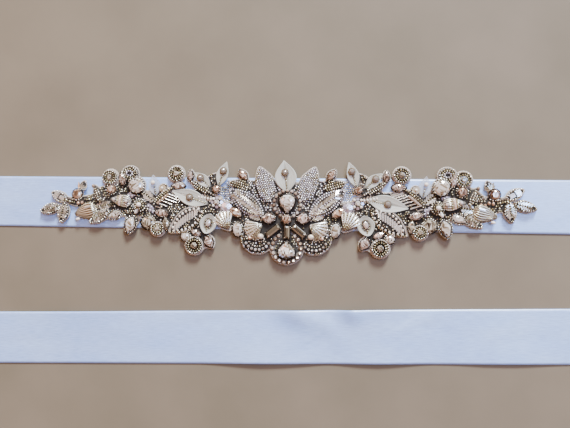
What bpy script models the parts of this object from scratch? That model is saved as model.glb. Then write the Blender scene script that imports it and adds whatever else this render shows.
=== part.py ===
"""Bridal sash laid flat: a long satin ribbon, folded round at both ends, with a beaded applique sewn
on the middle of its front run. Sizes are in millimetres and become metres when a mesh is made.
The origin is under the ribbon's centreline at the middle of the applique, with +X along the front
run, +Y towards the pointed top petal, and +Z up."""

import math
from collections import namedtuple

import bmesh
import bpy
from mathutils import Vector
from mathutils.geometry import delaunay_2d_cdt

MM = 0.001
SEAM = 0.3

# The ribbon: 2.5 yards of 1.5 inch satin
RIBBON_LENGTH = 2286.0
RIBBON_WIDTH = 38.0
RIBBON_WALL = 1.0
LAYER_STEP = 1.4
LEFT_CORNER = -400.0
BACK_RUN_DROP = 96.0
BACK_RUN_SLANT = math.radians(1.86)
TAIL_GAP = 12.0
TAIL_CUT_SLANT = 0.45
ROW_STEP = 30.0
RIBBON_COLUMNS = 4
# Near a fold the rows fan out from the slanted crease, over this reach and in this many steps
CREASE_REACH = 46.0
CREASE_STEPS = 4
# A folded end lies on the next stretch, and comes down to the surface between these distances
LIFT_NEAR = 24.0
LIFT_FAR = 84.0
BEND_STEPS = 4
# How sharply a wave's height falls from the raised edge to the other one
EDGE_LEAN = 1.6

# The felt plate that carries the beadwork
PLATE_BOTTOM = RIBBON_WALL + SEAM
PLATE_THICK = 1.2
PLATE_TOP = PLATE_BOTTOM + PLATE_THICK
FELT_MARGIN = 0.7
SEAT_CLEARANCE = 0.45
WALL_PARTING = 0.72
PARTING_REACH = 3.5
POINT_MERGE = 0.12

# A raised form is flat-topped: it keeps most of its height as far out as its shoulder
SHOULDER = 0.78
SHOULDER_HEIGHT = 0.8
ON_OUTLINE = 0.999
OUTSIDE = 2.0

# The two halves mirror each other, and are sewn with a small drift towards the ends
OUTWARD_DRIFT = 5.5
DROOP = 3.0

# Petals are cut from stiff cloth. They are cupped across, and their tips curl up from this share on.
CLOTH = 1.0
PETAL_ROWS = 7
PETAL_COLUMNS = 4
PETAL_TIP = 0.05
PETAL_CUP = 0.75
PETAL_CURL = 0.25
CURL_START = 0.55

COLOURS = {
    # finish: (red, green, blue, roughness, metallic)
    "satin": (0.80, 0.82, 0.88, 0.35, 0.0),
    "petal": (0.80, 0.77, 0.72, 0.55, 0.0),
    "organza": (0.80, 0.82, 0.86, 0.45, 0.0),
    "beadwork": (0.50, 0.45, 0.40, 0.35, 0.5),
    "silver_beads": (0.62, 0.58, 0.53, 0.28, 0.8),
    "crystal": (0.85, 0.82, 0.78, 0.08, 0.2),
    "champagne": (0.78, 0.58, 0.42, 0.10, 0.2),
}

# Low waves where the ribbon's edge leaves the surface. edge: +1 far edge, -1 near edge, 0 both.
Wave = namedtuple("Wave", "centre half_length height edge")
FRONT_WAVES = [
    Wave(-285, 60, 1.6, 1),
    Wave(285, 70, 1.8, -1),
    Wave(430, 80, 2.6, 1),
    Wave(545, 60, 1.8, -1),
]
BACK_WAVES = [
    Wave(-330, 55, 2.0, -1),
    Wave(-150, 70, 1.8, 1),
    Wave(-12, 52, 3.4, -1),
    Wave(66, 40, 2.6, -1),
    Wave(60, 46, 2.4, 1),
    Wave(165, 60, 1.6, -1),
    Wave(330, 60, 2.2, 1),
    Wave(455, 70, 2.4, -1),
    Wave(560, 60, 1.6, 1),
]

# Raised forms of the felt plate. shape: leaf, oval or drop. place: pair or middle, and a pair is
# mirrored about the centre. u is the distance from the centre, v the height above the centreline,
# turn the direction of the tip in degrees, where 0 points away from the centre and 90 points up.
Raised = namedtuple("Raised", "wall place shape u v turn length width height")
RAISED = [
    # end sprig
    Raised("side", "pair", "leaf", 173.5, -3.0, -14, 16.0, 7.5, 2.0),
    Raised("side", "pair", "leaf", 163.0, -6.5, -80, 15.0, 8.0, 2.2),
    Raised("side", "pair", "leaf", 166.5, 6.0, 28, 14.5, 7.0, 1.9),
    Raised("side", "pair", "oval", 152.5, 6.8, 0, 7.0, 7.0, 2.8),
    Raised("side", "pair", "leaf", 149.0, 12.8, 112, 8.5, 4.5, 1.8),
    Raised("side", "pair", "leaf", 153.5, 1.0, 12, 26.0, 5.0, 1.0),
    # outer cluster
    Raised("side", "pair", "leaf", 135.6, -10.8, -33, 18.0, 8.0, 2.4),
    Raised("side", "pair", "leaf", 137.4, 6.2, 64, 15.0, 5.5, 2.2),
    Raised("side", "pair", "oval", 116.2, 21.4, 0, 12.5, 11.0, 1.8),
    Raised("side", "pair", "leaf", 120.9, 17.2, 75, 9.6, 5.4, 2.6),
    Raised("side", "pair", "oval", 128.2, 9.6, 0, 6.6, 6.0, 2.6),
    Raised("side", "pair", "oval", 108.4, -2.2, 0, 9.4, 9.4, 2.8),
    Raised("side", "pair", "oval", 102.6, -15.0, 0, 9.4, 8.8, 2.0),
    # inner cluster
    Raised("side", "pair", "oval", 92.4, 10.6, 0, 6.0, 6.0, 1.6),
    Raised("side", "pair", "leaf", 91.0, 5.0, 140, 20.0, 6.5, 2.0),
    Raised("side", "pair", "leaf", 80.5, 12.4, 0, 9.5, 5.5, 2.0),
    Raised("side", "pair", "leaf", 92.8, -8.0, 10, 10.0, 5.5, 2.6),
    Raised("side", "pair", "leaf", 73.8, -12.6, -36, 32.0, 16.0, 2.6),
    Raised("side", "pair", "leaf", 89.4, -15.6, 85, 9.0, 5.0, 2.2),
    Raised("side", "pair", "oval", 74.4, -24.8, 0, 6.0, 6.0, 2.0),
    Raised("side", "pair", "leaf", 66.6, -22.0, 25, 8.0, 4.5, 2.0),
    Raised("side", "pair", "leaf", 63.5, 11.4, 30, 19.0, 6.0, 1.6),
    # centre
    Raised("centre", "pair", "oval", 44.2, -3.0, 0, 7.8, 7.8, 1.8),
    Raised("centre", "pair", "leaf", 37.6, -6.4, 35, 10.0, 6.0, 2.4),
    Raised("centre", "pair", "oval", 35.6, -19.2, 80, 9.5, 6.6, 2.4),
    Raised("centre", "pair", "leaf", 34.4, 13.2, 17, 17.0, 7.5, 2.0),
    Raised("centre", "pair", "leaf", 15.6, 13.2, 70, 29.0, 14.5, 2.6),
    Raised("centre", "pair", "leaf", 29.4, 0.6, 37, 32.0, 14.0, 2.8),
    Raised("centre", "pair", "oval", 20.6, -25.6, 0, 23.6, 21.8, 1.4),
]
RAISED_POINTS = 10

# Flat felt that joins the raised forms
Felt = namedtuple("Felt", "wall place u v turn length width")
FELT = [
    Felt("side", "pair", 103.0, 0.0, 0, 116.0, 17.0),
    Felt("side", "pair", 77.0, -4.0, 0, 72.0, 26.0),
    Felt("side", "pair", 122.0, 2.0, 0, 44.0, 26.0),
    Felt("side", "pair", 61.0, 8.0, 130, 36.0, 14.0),
    Felt("side", "pair", 66.0, -20.0, 60, 30.0, 16.0),
    Felt("side", "pair", 113.0, -9.0, -80, 22.0, 11.0),
    Felt("centre", "middle", 0.0, 0.0, 90, 34.0, 40.0),
    Felt("centre", "pair", 24.0, -8.0, 0, 50.0, 24.0),
    Felt("centre", "pair", 24.0, 8.0, 20, 30.0, 16.0),
    Felt("centre", "middle", 0.6, -32.0, 90, 24.6, 24.6),
    Felt("centre", "pair", 10.0, -22.0, 0, 20.0, 16.0),
]

# Halos of small stones round the two pear stones, raised in the centre wall
Halo = namedtuple("Halo", "u v radius stones start sweep stone height")
HALOS = [
    Halo(0.7, -0.4, 9.7, 17, -60, 300, 2.7, 2.2),
    Halo(0.7, -32.0, 10.4, 16, 124, 292, 3.0, 2.0),
]

# Pieces that are set on the plate, one node each. place is pair, middle, left or right. build is the
# form, whose outline is in PIECE_SHAPES and whose section is in LEVELS, and petals have their own
# function. seat is how far the piece stands above the plate.
Piece = namedtuple("Piece", "name wall place build u v turn length width height seat finish")
PIECE_ROWS = [
    # name, wall, place, build, u, v, turn, length, width, height, seat, finish
    ("beaded_disc_outer", "side", "pair", "disc", 129.4, 18.4, 90, 12.0, 12.0, 3.2, 0.0, "silver_beads"),
    ("beaded_disc_upper", "side", "pair", "disc", 82.5, 21.2, 90, 12.2, 12.2, 3.2, 0.0, "silver_beads"),
    ("beaded_disc_lower", "side", "pair", "disc", 67.5, -31.4, 90, 13.4, 13.4, 3.2, 0.0, "silver_beads"),
    ("beaded_disc_edge", "side", "pair", "disc", 95.4, -19.6, 90, 10.8, 10.8, 3.0, 0.0, "silver_beads"),
    ("round_shell", "side", "pair", "shell", 111.4, 12.4, 60, 13.0, 12.6, 4.0, 0.4, "crystal"),
    ("bud_outer", "side", "pair", "bud", 145.6, -6.6, -14, 17.0, 12.0, 3.6, 0.0, "silver_beads"),
    ("bud_middle", "side", "pair", "bud", 121.2, 1.0, 8, 16.0, 9.6, 3.8, 0.4, "silver_beads"),
    ("fan_shell", "centre", "pair", "bud", 44.6, -14.0, -120, 13.0, 12.4, 4.2, 0.0, "silver_beads"),
    ("fan_bud", "centre", "pair", "bud", 21.2, -20.0, -75, 13.6, 12.6, 4.6, 1.2, "silver_beads"),
    ("marquise_upper", "side", "pair", "stone", 71.6, 20.2, 90, 8.6, 5.0, 2.6, 0.0, "champagne"),
    ("marquise_outer", "side", "pair", "stone", 125.4, -9.6, -24, 12.0, 6.4, 2.8, 0.0, "crystal"),
    ("marquise_centre", "centre", "pair", "stone", 32.4, 21.0, 55, 9.6, 6.0, 2.8, 0.0, "champagne"),
    ("drop_stone", "side", "pair", "stone", 114.8, -17.0, -74, 13.5, 8.6, 3.2, 0.0, "crystal"),
    ("hex_stone", "side", "pair", "stone", 56.4, -28.6, -118, 10.0, 7.6, 3.0, 0.0, "champagne"),
    ("amber_knot", "side", "pair", "round", 52.0, 10.2, 0, 6.2, 6.2, 3.2, 0.0, "champagne"),
    ("pale_rosette", "side", "pair", "disc", 51.4, 0.6, 0, 9.4, 9.4, 3.4, 0.0, "crystal"),
    ("square_stone", "centre", "pair", "stone", 12.8, -10.8, 0, 11.4, 8.6, 3.4, 1.2, "champagne"),
    ("baguette", "centre", "pair", "baguette", 9.4, -20.0, -39, 12.0, 4.8, 2.8, 1.8, "champagne"),
    ("baguette_middle", "centre", "middle", "baguette", 0.9, -20.8, -90, 9.4, 4.4, 2.8, 1.8, "champagne"),
    ("pear_stone_top", "centre", "middle", "pear", 0.7, -0.2, -90, 14.2, 12.0, 4.2, 1.6, "crystal"),
    ("pear_stone_bottom", "centre", "middle", "pear", 0.7, -33.6, 90, 13.0, 13.2, 4.2, 1.2, "crystal"),
    ("amber_round", "centre", "middle", "round", 0.3, -11.4, 0, 7.4, 7.4, 3.8, 1.8, "champagne"),
    ("petal_top", "centre", "middle", "petal", -1.0, 20.0, 97, 23.6, 16.0, 2.4, 0.0, "petal"),
    ("petal_pointed", "side", "pair", "petal", 47.6, 21.6, 108, 19.0, 8.6, 2.0, 0.0, "petal"),
    ("petal_upper", "side", "pair", "petal", 62.6, 17.2, 42, 16.0, 8.2, 2.0, 0.0, "petal"),
    ("petal_long", "side", "left", "petal", 71.7, 4.0, 19, 29.0, 11.8, 2.4, 0.0, "petal"),
    ("petal_long", "side", "right", "petal", 72.7, 0.4, -12, 30.0, 12.2, 2.4, 0.0, "petal"),
    ("petal_cup", "side", "pair", "petal", 57.4, -15.4, -76, 15.0, 9.4, 2.6, 0.0, "petal"),
    ("petal_sheer", "side", "pair", "petal", 98.7, 12.8, 80, 16.0, 9.0, 1.8, 0.0, "organza"),
]
PIECES = [Piece(*row) for row in PIECE_ROWS]


def smooth(low, high, value):
    """0 below low, 1 above high, and an even curve between them."""
    share = min(1.0, max(0.0, (value - low) / (high - low)))
    return share * share * (3 - 2 * share)


def sewn_place(u, v, side):
    """Where a motif of the mirrored half design lies, side being -1 for the left and +1 for the right."""
    out = u - side * OUTWARD_DRIFT * smooth(96, 150, u)
    up = v + side * DROOP * smooth(128, 184, u)
    return Vector((side * out, up))


def sewn_turn(turn, side):
    """A direction in degrees on the half design as radians in the row frame."""
    return math.radians(turn if side > 0 else 180 - turn)


# The sides that a place stands for: -1 is the left half, 1 the right and 0 the middle
SIDES = {"middle": (0,), "left": (-1,), "right": (1,), "pair": (-1, 1)}


def centre_of(item, side):
    return Vector((item.u, item.v)) if side == 0 else sewn_place(item.u, item.v, side)


def turn_of(item, side):
    return math.radians(item.turn) if side == 0 else sewn_turn(item.turn, side)


# Outlines, as unit profiles that run along a piece and give its half width

def leaf_profile(share):
    return math.sin(math.pi * share**0.9) ** 0.85


def pear_profile(share):
    """Round at share 0 and pointed at share 1."""
    return math.sin(math.pi * share**0.62) ** 0.8


def flat_outline(shape, length, width, points):
    """Counter-clockwise outline about the origin with its tip towards +X."""
    if shape == "oval":
        angles = [2 * math.pi * k / points for k in range(points)]
        return [Vector((length / 2 * math.cos(a), width / 2 * math.sin(a))) for a in angles]
    profile = pear_profile if shape == "drop" else leaf_profile
    half = points // 2
    shares = [(1 - math.cos(math.pi * k / half)) / 2 for k in range(half + 1)]
    lower = [Vector((length * (s - 0.5), -width / 2 * profile(s))) for s in shares]
    upper = [Vector((p.x, -p.y)) for p in reversed(lower[1:-1])]
    return lower + upper


def turned(points, centre, turn):
    cos, sin = math.cos(turn), math.sin(turn)
    return [centre + Vector((p.x * cos - p.y * sin, p.x * sin + p.y * cos)) for p in points]


class Form:
    """A closed outline on the plate, seen from above, and what it does to the wall's height."""

    def __init__(self, role, centre, outline, height=0.0, axis_points=(), felt=True):
        self.role = role
        self.felt = felt
        self.centre = centre
        self.outline = outline
        self.height = height
        self.axis_points = list(axis_points)
        self.reach = max((p - centre).length for p in outline)

    def level(self, point):
        """0 at the centre, 1 on the outline and more outside."""
        ray = point - self.centre
        if ray.length < 1e-6:
            return 0.0
        if ray.length > self.reach * 1.01:
            return OUTSIDE
        for a, b in zip(self.outline, self.outline[1:] + self.outline[:1]):
            edge = b - a
            across = ray.x * edge.y - ray.y * edge.x
            if abs(across) < 1e-12:
                continue
            start = a - self.centre
            along = (start.x * edge.y - start.y * edge.x) / across
            share = (start.x * ray.y - start.y * ray.x) / across
            if along > 0 and -1e-6 <= share <= 1 + 1e-6:
                return 1 / along
        return OUTSIDE

    def rise(self, point):
        """Height above the plate at a point, for a raised form."""
        level = self.level(point)
        if level >= ON_OUTLINE:
            return 0.0
        if level > SHOULDER:
            return self.height * SHOULDER_HEIGHT * (1 - level) / (1 - SHOULDER)
        return self.height * (1 - (1 - SHOULDER_HEIGHT) * (level / SHOULDER) ** 2)


def raised_form(item, side):
    centre, turn = centre_of(item, side), turn_of(item, side)
    size = (item.length + 2 * FELT_MARGIN, item.width + 2 * FELT_MARGIN)
    outline = flat_outline(item.shape, *size, RAISED_POINTS)
    spine = (-0.25, 0, 0.25) if item.shape == "leaf" else (0,)
    axis = [Vector((item.length * share, 0)) for share in spine]
    return Form("raised", centre, turned(outline, centre, turn), item.height, turned(axis, centre, turn))


PIECE_SHAPES = {
    # build: shape of its outline
    "disc": "oval",
    "shell": "oval",
    "bud": "drop",
    "stone": "leaf",
    "round": "oval",
    "baguette": "box",
    "pear": "drop",
    "petal": "leaf",
}

# Share of the outline that the valleys between a bud's or shell's ribs keep
RIBBED = {"bud": 0.90, "shell": 0.93}


def box_outline(length, width):
    corners = ((1, -1), (1, 1), (-1, 1), (-1, -1))
    return [Vector((length / 2 * x, width / 2 * y)) for x, y in corners]


def piece_outline(piece, margin):
    shape = PIECE_SHAPES[piece.build]
    points = 16 if piece.build in RIBBED else 12
    length, width = piece.length + 2 * margin, piece.width + 2 * margin
    if shape == "box":
        return box_outline(length, width)
    if shape == "oval":
        return flat_outline(shape, length, width, points)
    return flat_outline(shape, length + 2 * margin, width, points)


def seat_form(piece, side, wall):
    """The place kept clear for a set piece. A petal's tip stands free, so no felt is cut for it."""
    centre, turn = centre_of(piece, side), turn_of(piece, side)
    outline = turned(piece_outline(piece, SEAT_CLEARANCE), centre, turn)
    felt = piece.wall == wall and piece.build != "petal"
    return Form("seat", centre, outline, piece.seat, felt=felt)


def felt_form(item, side):
    centre = centre_of(item, side)
    outline = flat_outline("oval", item.length, item.width, 16)
    return Form("felt", centre, turned(outline, centre, turn_of(item, side)))


def halo_forms(halo):
    centre = Vector((halo.u, halo.v))
    for k in range(halo.stones):
        angle = math.radians(halo.start + halo.sweep * k / (halo.stones - 1))
        place = centre + halo.radius * Vector((math.cos(angle), math.sin(angle)))
        outline = flat_outline("oval", halo.stone, halo.stone, 6)
        yield Form("raised", place, turned(outline, place, angle), halo.height, [place])


def wall_forms(wall, side):
    """Every form of one wall: the left or right side wall, or the centre wall with both its halves."""
    def wanted(items):
        for item in items:
            if item.wall == wall:
                for s in SIDES[item.place]:
                    if wall == "centre" or s == side:
                        yield item, s

    forms = [felt_form(*pair) for pair in wanted(FELT)]
    forms += [raised_form(*pair) for pair in wanted(RAISED)]
    forms += [seat_form(piece, s, wall) for piece in PIECES for s in SIDES[piece.place]]
    if wall == "centre":
        for halo in HALOS:
            forms += halo_forms(halo)
    return forms


def divide(forms, cutters):
    """Constrained triangles of all outlines, as points and faces."""
    points, edges = [], []

    def add_loop(loop):
        first = len(points)
        points.extend(loop)
        count = len(loop)
        edges.extend((first + k, first + (k + 1) % count) for k in range(count))

    for form in forms:
        add_loop(form.outline)
        if form.role == "raised":
            add_loop([form.centre + (p - form.centre) * SHOULDER for p in form.outline])
            points.extend(form.axis_points)
    for cutter in cutters:
        add_loop(cutter.outline)
    made = delaunay_2d_cdt(points, edges, [], 0, POINT_MERGE)
    return made[0], made[2]


def height_at(point, forms):
    top = 0.0
    for form in forms:
        if form.role == "seat":
            if form.level(point) <= 1 + 1.5 * POINT_MERGE / form.reach:
                return form.height
        elif form.role == "raised":
            top = max(top, form.rise(point))
    return top


def largest_sheet(faces):
    """The faces of the largest patch that hangs together along edges."""
    by_edge = {}
    for index, face in enumerate(faces):
        for a, b in zip(face, face[1:] + face[:1]):
            by_edge.setdefault(frozenset((a, b)), []).append(index)
    left, best = set(range(len(faces))), []
    while left:
        patch, ahead = [], [left.pop()]
        while ahead:
            here = ahead.pop()
            patch.append(here)
            face = faces[here]
            for a, b in zip(face, face[1:] + face[:1]):
                for other in by_edge[frozenset((a, b))]:
                    if other in left:
                        left.discard(other)
                        ahead.append(other)
        if len(patch) > len(best):
            best = patch
    return [faces[k] for k in best]


def with_holes_filled(faces, chosen):
    """The chosen faces, and every other face that the chosen ones shut in."""
    by_edge = {}
    for index, face in enumerate(faces):
        for a, b in zip(face, face[1:] + face[:1]):
            by_edge.setdefault(frozenset((a, b)), []).append(index)
    ahead = {n[0] for n in by_edge.values() if len(n) == 1 and n[0] not in chosen}
    outside = set()
    while ahead:
        here = ahead.pop()
        outside.add(here)
        face = faces[here]
        for a, b in zip(face, face[1:] + face[:1]):
            ahead |= {n for n in by_edge[frozenset((a, b))] if n not in chosen and n not in outside}
    return [face for index, face in enumerate(faces) if index not in outside]


def border_steps(faces):
    """For each point of the border, the points that follow it."""
    following = {}
    edges = {(a, b) for face in faces for a, b in zip(face, face[1:] + face[:1])}
    for a, b in edges:
        if (b, a) not in edges:
            following.setdefault(a, []).append(b)
    return following


def without_pinches(faces):
    """Takes away the faces at a point where two borders touch, until none is left."""
    while True:
        pinched = {a for a, after in border_steps(faces).items() if len(after) > 1}
        if not pinched:
            return faces
        faces = largest_sheet([face for face in faces if not pinched & set(face)])


def relief_wall(name, wall, side, cutters):
    """A felt plate with a plain underside whose top points are raised by the beadwork on it."""
    forms = wall_forms(wall, side)
    points, faces = divide(forms, cutters)
    faces = [list(face) for face in faces]
    chosen = set()
    for index, face in enumerate(faces):
        middle = sum((points[k] for k in face), Vector((0, 0))) / len(face)
        felt = any(form.felt and form.level(middle) < 1 for form in forms)
        if felt and not any(cutter.level(middle) < 1 for cutter in cutters):
            chosen.add(index)
    kept = without_pinches(largest_sheet(with_holes_filled(faces, chosen)))

    mesh = bmesh.new()
    used = sorted({k for face in kept for k in face})
    top = {}
    for k in used:
        p = points[k]
        top[k] = mesh.verts.new((p.x * MM, p.y * MM, (PLATE_TOP + height_at(p, forms)) * MM))
    for face in kept:
        mesh.faces.new([top[k] for k in face])

    following = border_steps(kept)
    low = {}
    for k in following:
        p = points[k]
        low[k] = mesh.verts.new((p.x * MM, p.y * MM, PLATE_BOTTOM * MM))
    for a, after in following.items():
        for b in after:
            mesh.faces.new((top[b], top[a], low[a], low[b]))
    close_underside(mesh, points, following, low)
    bmesh.ops.triangulate(mesh, faces=mesh.faces[:])
    return finish_object(name, mesh, "beadwork")


def close_underside(mesh, points, following, low):
    """A plain face across the border, with the same points as the side faces."""
    order = list(low)
    number = {k: n for n, k in enumerate(order)}
    border = [(number[a], number[b]) for a, after in following.items() for b in after]
    flat = [points[k] for k in order]
    made = delaunay_2d_cdt(flat, border, [], 1, 1e-5)
    places, source = made[0], made[3]
    for face in made[2]:
        corners = [low[order[source[k][0]]] for k in face if source[k]]
        if len(corners) == len(face) and len(places) == len(flat):
            mesh.faces.new(list(reversed(corners)))


def finish_object(name, mesh, finish, location=(0, 0, 0), turn=0.0, open_sheet=False):
    if not open_sheet:
        bmesh.ops.recalc_face_normals(mesh, faces=mesh.faces[:])
    data = bpy.data.meshes.new(name)
    mesh.to_mesh(data)
    mesh.free()
    made = bpy.data.objects.new(name, data)
    made.location = [c * MM for c in location]
    made.rotation_euler.z = turn
    data.materials.append(material(finish))
    bpy.context.scene.collection.objects.link(made)
    return made


def material(finish):
    if finish in bpy.data.materials:
        return bpy.data.materials[finish]
    made = bpy.data.materials.new(finish)
    made.use_nodes = True
    red, green, blue, roughness, metallic = COLOURS[finish]
    shader = made.node_tree.nodes["Principled BSDF"]
    shader.inputs["Base Color"].default_value = (red, green, blue, 1)
    shader.inputs["Roughness"].default_value = roughness
    shader.inputs["Metallic"].default_value = metallic
    made.diffuse_color = (red, green, blue, 1)
    return made


# Levels of a set piece from its flat base up. Each is (scale of the outline, share of the height).
LEVELS = {
    "disc": [(0.94, 0.0), (1.0, 0.2), (0.92, 0.5), (0.62, 0.46), (0.48, 0.8), (0.28, 1.0)],
    "shell": [(0.90, 0.0), (1.0, 0.2), (0.86, 0.64), (0.42, 1.0)],
    "bud": [(0.92, 0.0), (1.0, 0.2), (0.84, 0.66), (0.40, 1.0)],
    "stone": [(0.92, 0.0), (1.0, 0.3), (0.94, 0.5), (0.56, 1.0)],
    "round": [(0.92, 0.0), (1.0, 0.3), (0.92, 0.55), (0.54, 1.0)],
    "baguette": [(0.94, 0.0), (1.0, 0.35), (0.92, 0.55), (0.55, 1.0)],
    "pear": [(0.92, 0.0), (1.0, 0.25), (0.95, 0.45), (0.56, 1.0)],
}


def set_piece(piece, side):
    """A closed solid stacked from scaled copies of its outline, seated just above the plate."""
    name = piece.name if side == 0 else piece.name + ("_left" if side < 0 else "_right")
    outline = piece_outline(piece, 0.0)
    mesh = bmesh.new()
    loops = []
    for level, (scale, share) in enumerate(LEVELS[piece.build]):
        loop = []
        for k, p in enumerate(outline):
            ribbed = piece.build in RIBBED and level > 1 and k % 2
            here = scale * (RIBBED[piece.build] if ribbed else 1.0)
            loop.append(mesh.verts.new((p.x * here * MM, p.y * here * MM, share * piece.height * MM)))
        loops.append(loop)
    count = len(outline)
    for below, above in zip(loops, loops[1:]):
        for k in range(count):
            after = (k + 1) % count
            mesh.faces.new((below[k], below[after], above[after], above[k]))
    mesh.faces.new(list(reversed(loops[0])))
    mesh.faces.new(loops[-1])
    bmesh.ops.triangulate(mesh, faces=mesh.faces[:])
    centre = centre_of(piece, side)
    base = PLATE_TOP + piece.seat + SEAM
    return finish_object(name, mesh, piece.finish, (centre.x, centre.y, base), turn_of(piece, side))


def petal(piece, side):
    """A cloth petal, cupped across and arched along, with a wall of its own thickness."""
    name = piece.name if side == 0 else piece.name + ("_left" if side < 0 else "_right")
    mesh = bmesh.new()
    bmesh.ops.create_grid(mesh, x_segments=PETAL_ROWS, y_segments=PETAL_COLUMNS, size=1.0)
    rise = piece.height - CLOTH
    for vert in mesh.verts:
        share = PETAL_TIP + (1 - 2 * PETAL_TIP) * (vert.co.x + 1) / 2
        half = piece.width / 2 * leaf_profile(share)
        across = vert.co.y
        cup = PETAL_CUP * across * across * math.sin(math.pi * share)
        height = rise * (cup + PETAL_CURL * smooth(CURL_START, 1.0, share))
        vert.co = Vector((piece.length * (share - 0.5), half * across, height)) * MM
    centre = centre_of(piece, side)
    base = PLATE_TOP + piece.seat + SEAM
    place = (centre.x, centre.y, base)
    made = finish_object(name, mesh, piece.finish, place, turn_of(piece, side), open_sheet=True)
    wall = made.modifiers.new("wall", "SOLIDIFY")
    wall.thickness = CLOTH * MM
    wall.offset = 1.0
    return made


# The ribbon's path. Each stretch runs straight from one corner to the next.

def back_line(x):
    return Vector((x, -BACK_RUN_DROP + math.tan(BACK_RUN_SLANT) * x))


def tail_corners():
    """Corners and tail ends that give each half of the ribbon half of its length."""
    half = RIBBON_LENGTH / 2
    slant = math.cos(BACK_RUN_SLANT)
    left = back_line(LEFT_CORNER)
    left_end = LEFT_CORNER + (half + LEFT_CORNER + left.y) * slant
    right_end = left_end + TAIL_GAP
    right_corner = (half - BACK_RUN_DROP + right_end / slant) / (1 - math.tan(BACK_RUN_SLANT) + 1 / slant)
    return left_end, right_end, right_corner


def skew(direction, other):
    """How far a crease between two directions leans along the first, for each step across it."""
    crease = (direction + other).normalized()
    across = Vector((-direction.y, direction.x))
    return crease.dot(direction) / crease.dot(across)


def wave_height(waves, x, across):
    """Height of the low waves at a place along X, with across from -1 at the near edge to 1."""
    height = 0.0
    for wave in waves:
        off = (x - wave.centre) / wave.half_length
        if abs(off) < 1:
            lean = 1.0 if wave.edge == 0 else max(0.0, (1 + wave.edge * across) / 2) ** EDGE_LEAN
            height += wave.height * lean * math.cos(math.pi / 2 * off) ** 2
    return height


def stretch(name, start, end, lean_start, lean_end, folded, waves):
    """One straight stretch of the ribbon. lean is the skew of each end, and folded says which ends
    lie on the next stretch and curl under to meet it."""
    along = (end - start).normalized()
    across = Vector((-along.y, along.x))
    length = (end - start).length
    inner = [(CREASE_REACH * k / CREASE_STEPS, 1 - k / CREASE_STEPS) for k in range(CREASE_STEPS + 1)]
    rows = [(s, lean_start * keep, 0.0) for s, keep in inner]
    steps = max(2, round((length - 2 * CREASE_REACH) / ROW_STEP))
    rows += [(CREASE_REACH + (length - 2 * CREASE_REACH) * k / steps, 0.0, 0.0) for k in range(1, steps)]
    rows += [(length - s, lean_end * keep, 0.0) for s, keep in reversed(inner)]
    bends = [math.pi * k / BEND_STEPS for k in range(1, BEND_STEPS + 1)]
    if folded[0]:
        rows = [(0.0, lean_start, -bend) for bend in reversed(bends)] + rows
    if folded[1]:
        rows += [(length, lean_end, bend) for bend in bends]

    mesh = bmesh.new()
    bmesh.ops.create_grid(mesh, x_segments=len(rows) - 1, y_segments=RIBBON_COLUMNS, size=1.0)
    for vert in mesh.verts:
        s, lean, bend = rows[round((vert.co.x + 1) / 2 * (len(rows) - 1))]
        t = RIBBON_WIDTH / 2 * vert.co.y
        place = start + along * (s + lean * t) + across * t
        lift = LAYER_STEP * (
            (1 - smooth(LIFT_NEAR, LIFT_FAR, s)) * folded[0]
            + (1 - smooth(LIFT_NEAR, LIFT_FAR, length - s)) * folded[1]
        )
        near = smooth(LIFT_NEAR, LIFT_FAR, min(s, length - s))
        side = 1 if along.x > 0 else -1
        height = RIBBON_WALL / 2 + lift + near * wave_height(waves, place.x, side * vert.co.y)
        if bend:
            crease = (along * lean + across).normalized()
            outward = Vector((crease.y, -crease.x)) * (1 if bend > 0 else -1)
            place = place + outward * (LAYER_STEP / 2 * math.sin(abs(bend)))
            height -= LAYER_STEP / 2 * (1 - math.cos(bend))
        vert.co = Vector((place.x, place.y, height)) * MM
    made = finish_object(name, mesh, "satin", open_sheet=True)
    wall = made.modifiers.new("wall", "SOLIDIFY")
    wall.thickness = RIBBON_WALL * MM
    wall.offset = 0.0
    wall.use_even_offset = True
    return made


def turn_stretch(name, start, end, before, after):
    """The short stretch between two corners, which lies flat under both of its neighbours."""
    along = (end - start).normalized()
    lean_start, lean_end = skew(along, before), skew(along, after)
    inset_start = SEAM * math.sqrt(1 + lean_start**2)
    inset_end = SEAM * math.sqrt(1 + lean_end**2)
    first, last = start + along * inset_start, end - along * inset_end
    across = Vector((-along.y, along.x)) * RIBBON_WIDTH / 2
    half = RIBBON_WIDTH / 2
    mesh = bmesh.new()
    corners = [
        first - across - along * lean_start * half,
        last - across - along * lean_end * half,
        last + across + along * lean_end * half,
        first + across + along * lean_start * half,
    ]
    face = mesh.faces.new([mesh.verts.new((p.x * MM, p.y * MM, 0)) for p in corners])
    raised = bmesh.ops.extrude_face_region(mesh, geom=[face])
    tops = [v for v in raised["geom"] if isinstance(v, bmesh.types.BMVert)]
    bmesh.ops.translate(mesh, verts=tops, vec=(0, 0, RIBBON_WALL * MM))
    return finish_object(name, mesh, "satin")


def ribbon():
    left_end, right_end, right_corner = tail_corners()
    a, d = Vector((LEFT_CORNER, 0)), Vector((right_corner, 0))
    b, c = back_line(LEFT_CORNER), back_line(right_corner)
    left_tip, right_tip = back_line(left_end), back_line(right_end)
    out, home = Vector((1, 0)), (left_tip - b).normalized()
    down, up = Vector((0, -1)), Vector((0, 1))
    stretch("ribbon_front", a, d, skew(out, up), skew(out, down), (1, 1), FRONT_WAVES)
    turn_stretch("ribbon_turn_left", a, b, -out, home)
    turn_stretch("ribbon_turn_right", d, c, out, -home)
    stretch("ribbon_tail_left", b, left_tip, skew(home, down), TAIL_CUT_SLANT, (1, 0), BACK_WAVES)
    stretch("ribbon_tail_right", right_tip, c, TAIL_CUT_SLANT, skew(home, up), (0, 1), BACK_WAVES)


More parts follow.
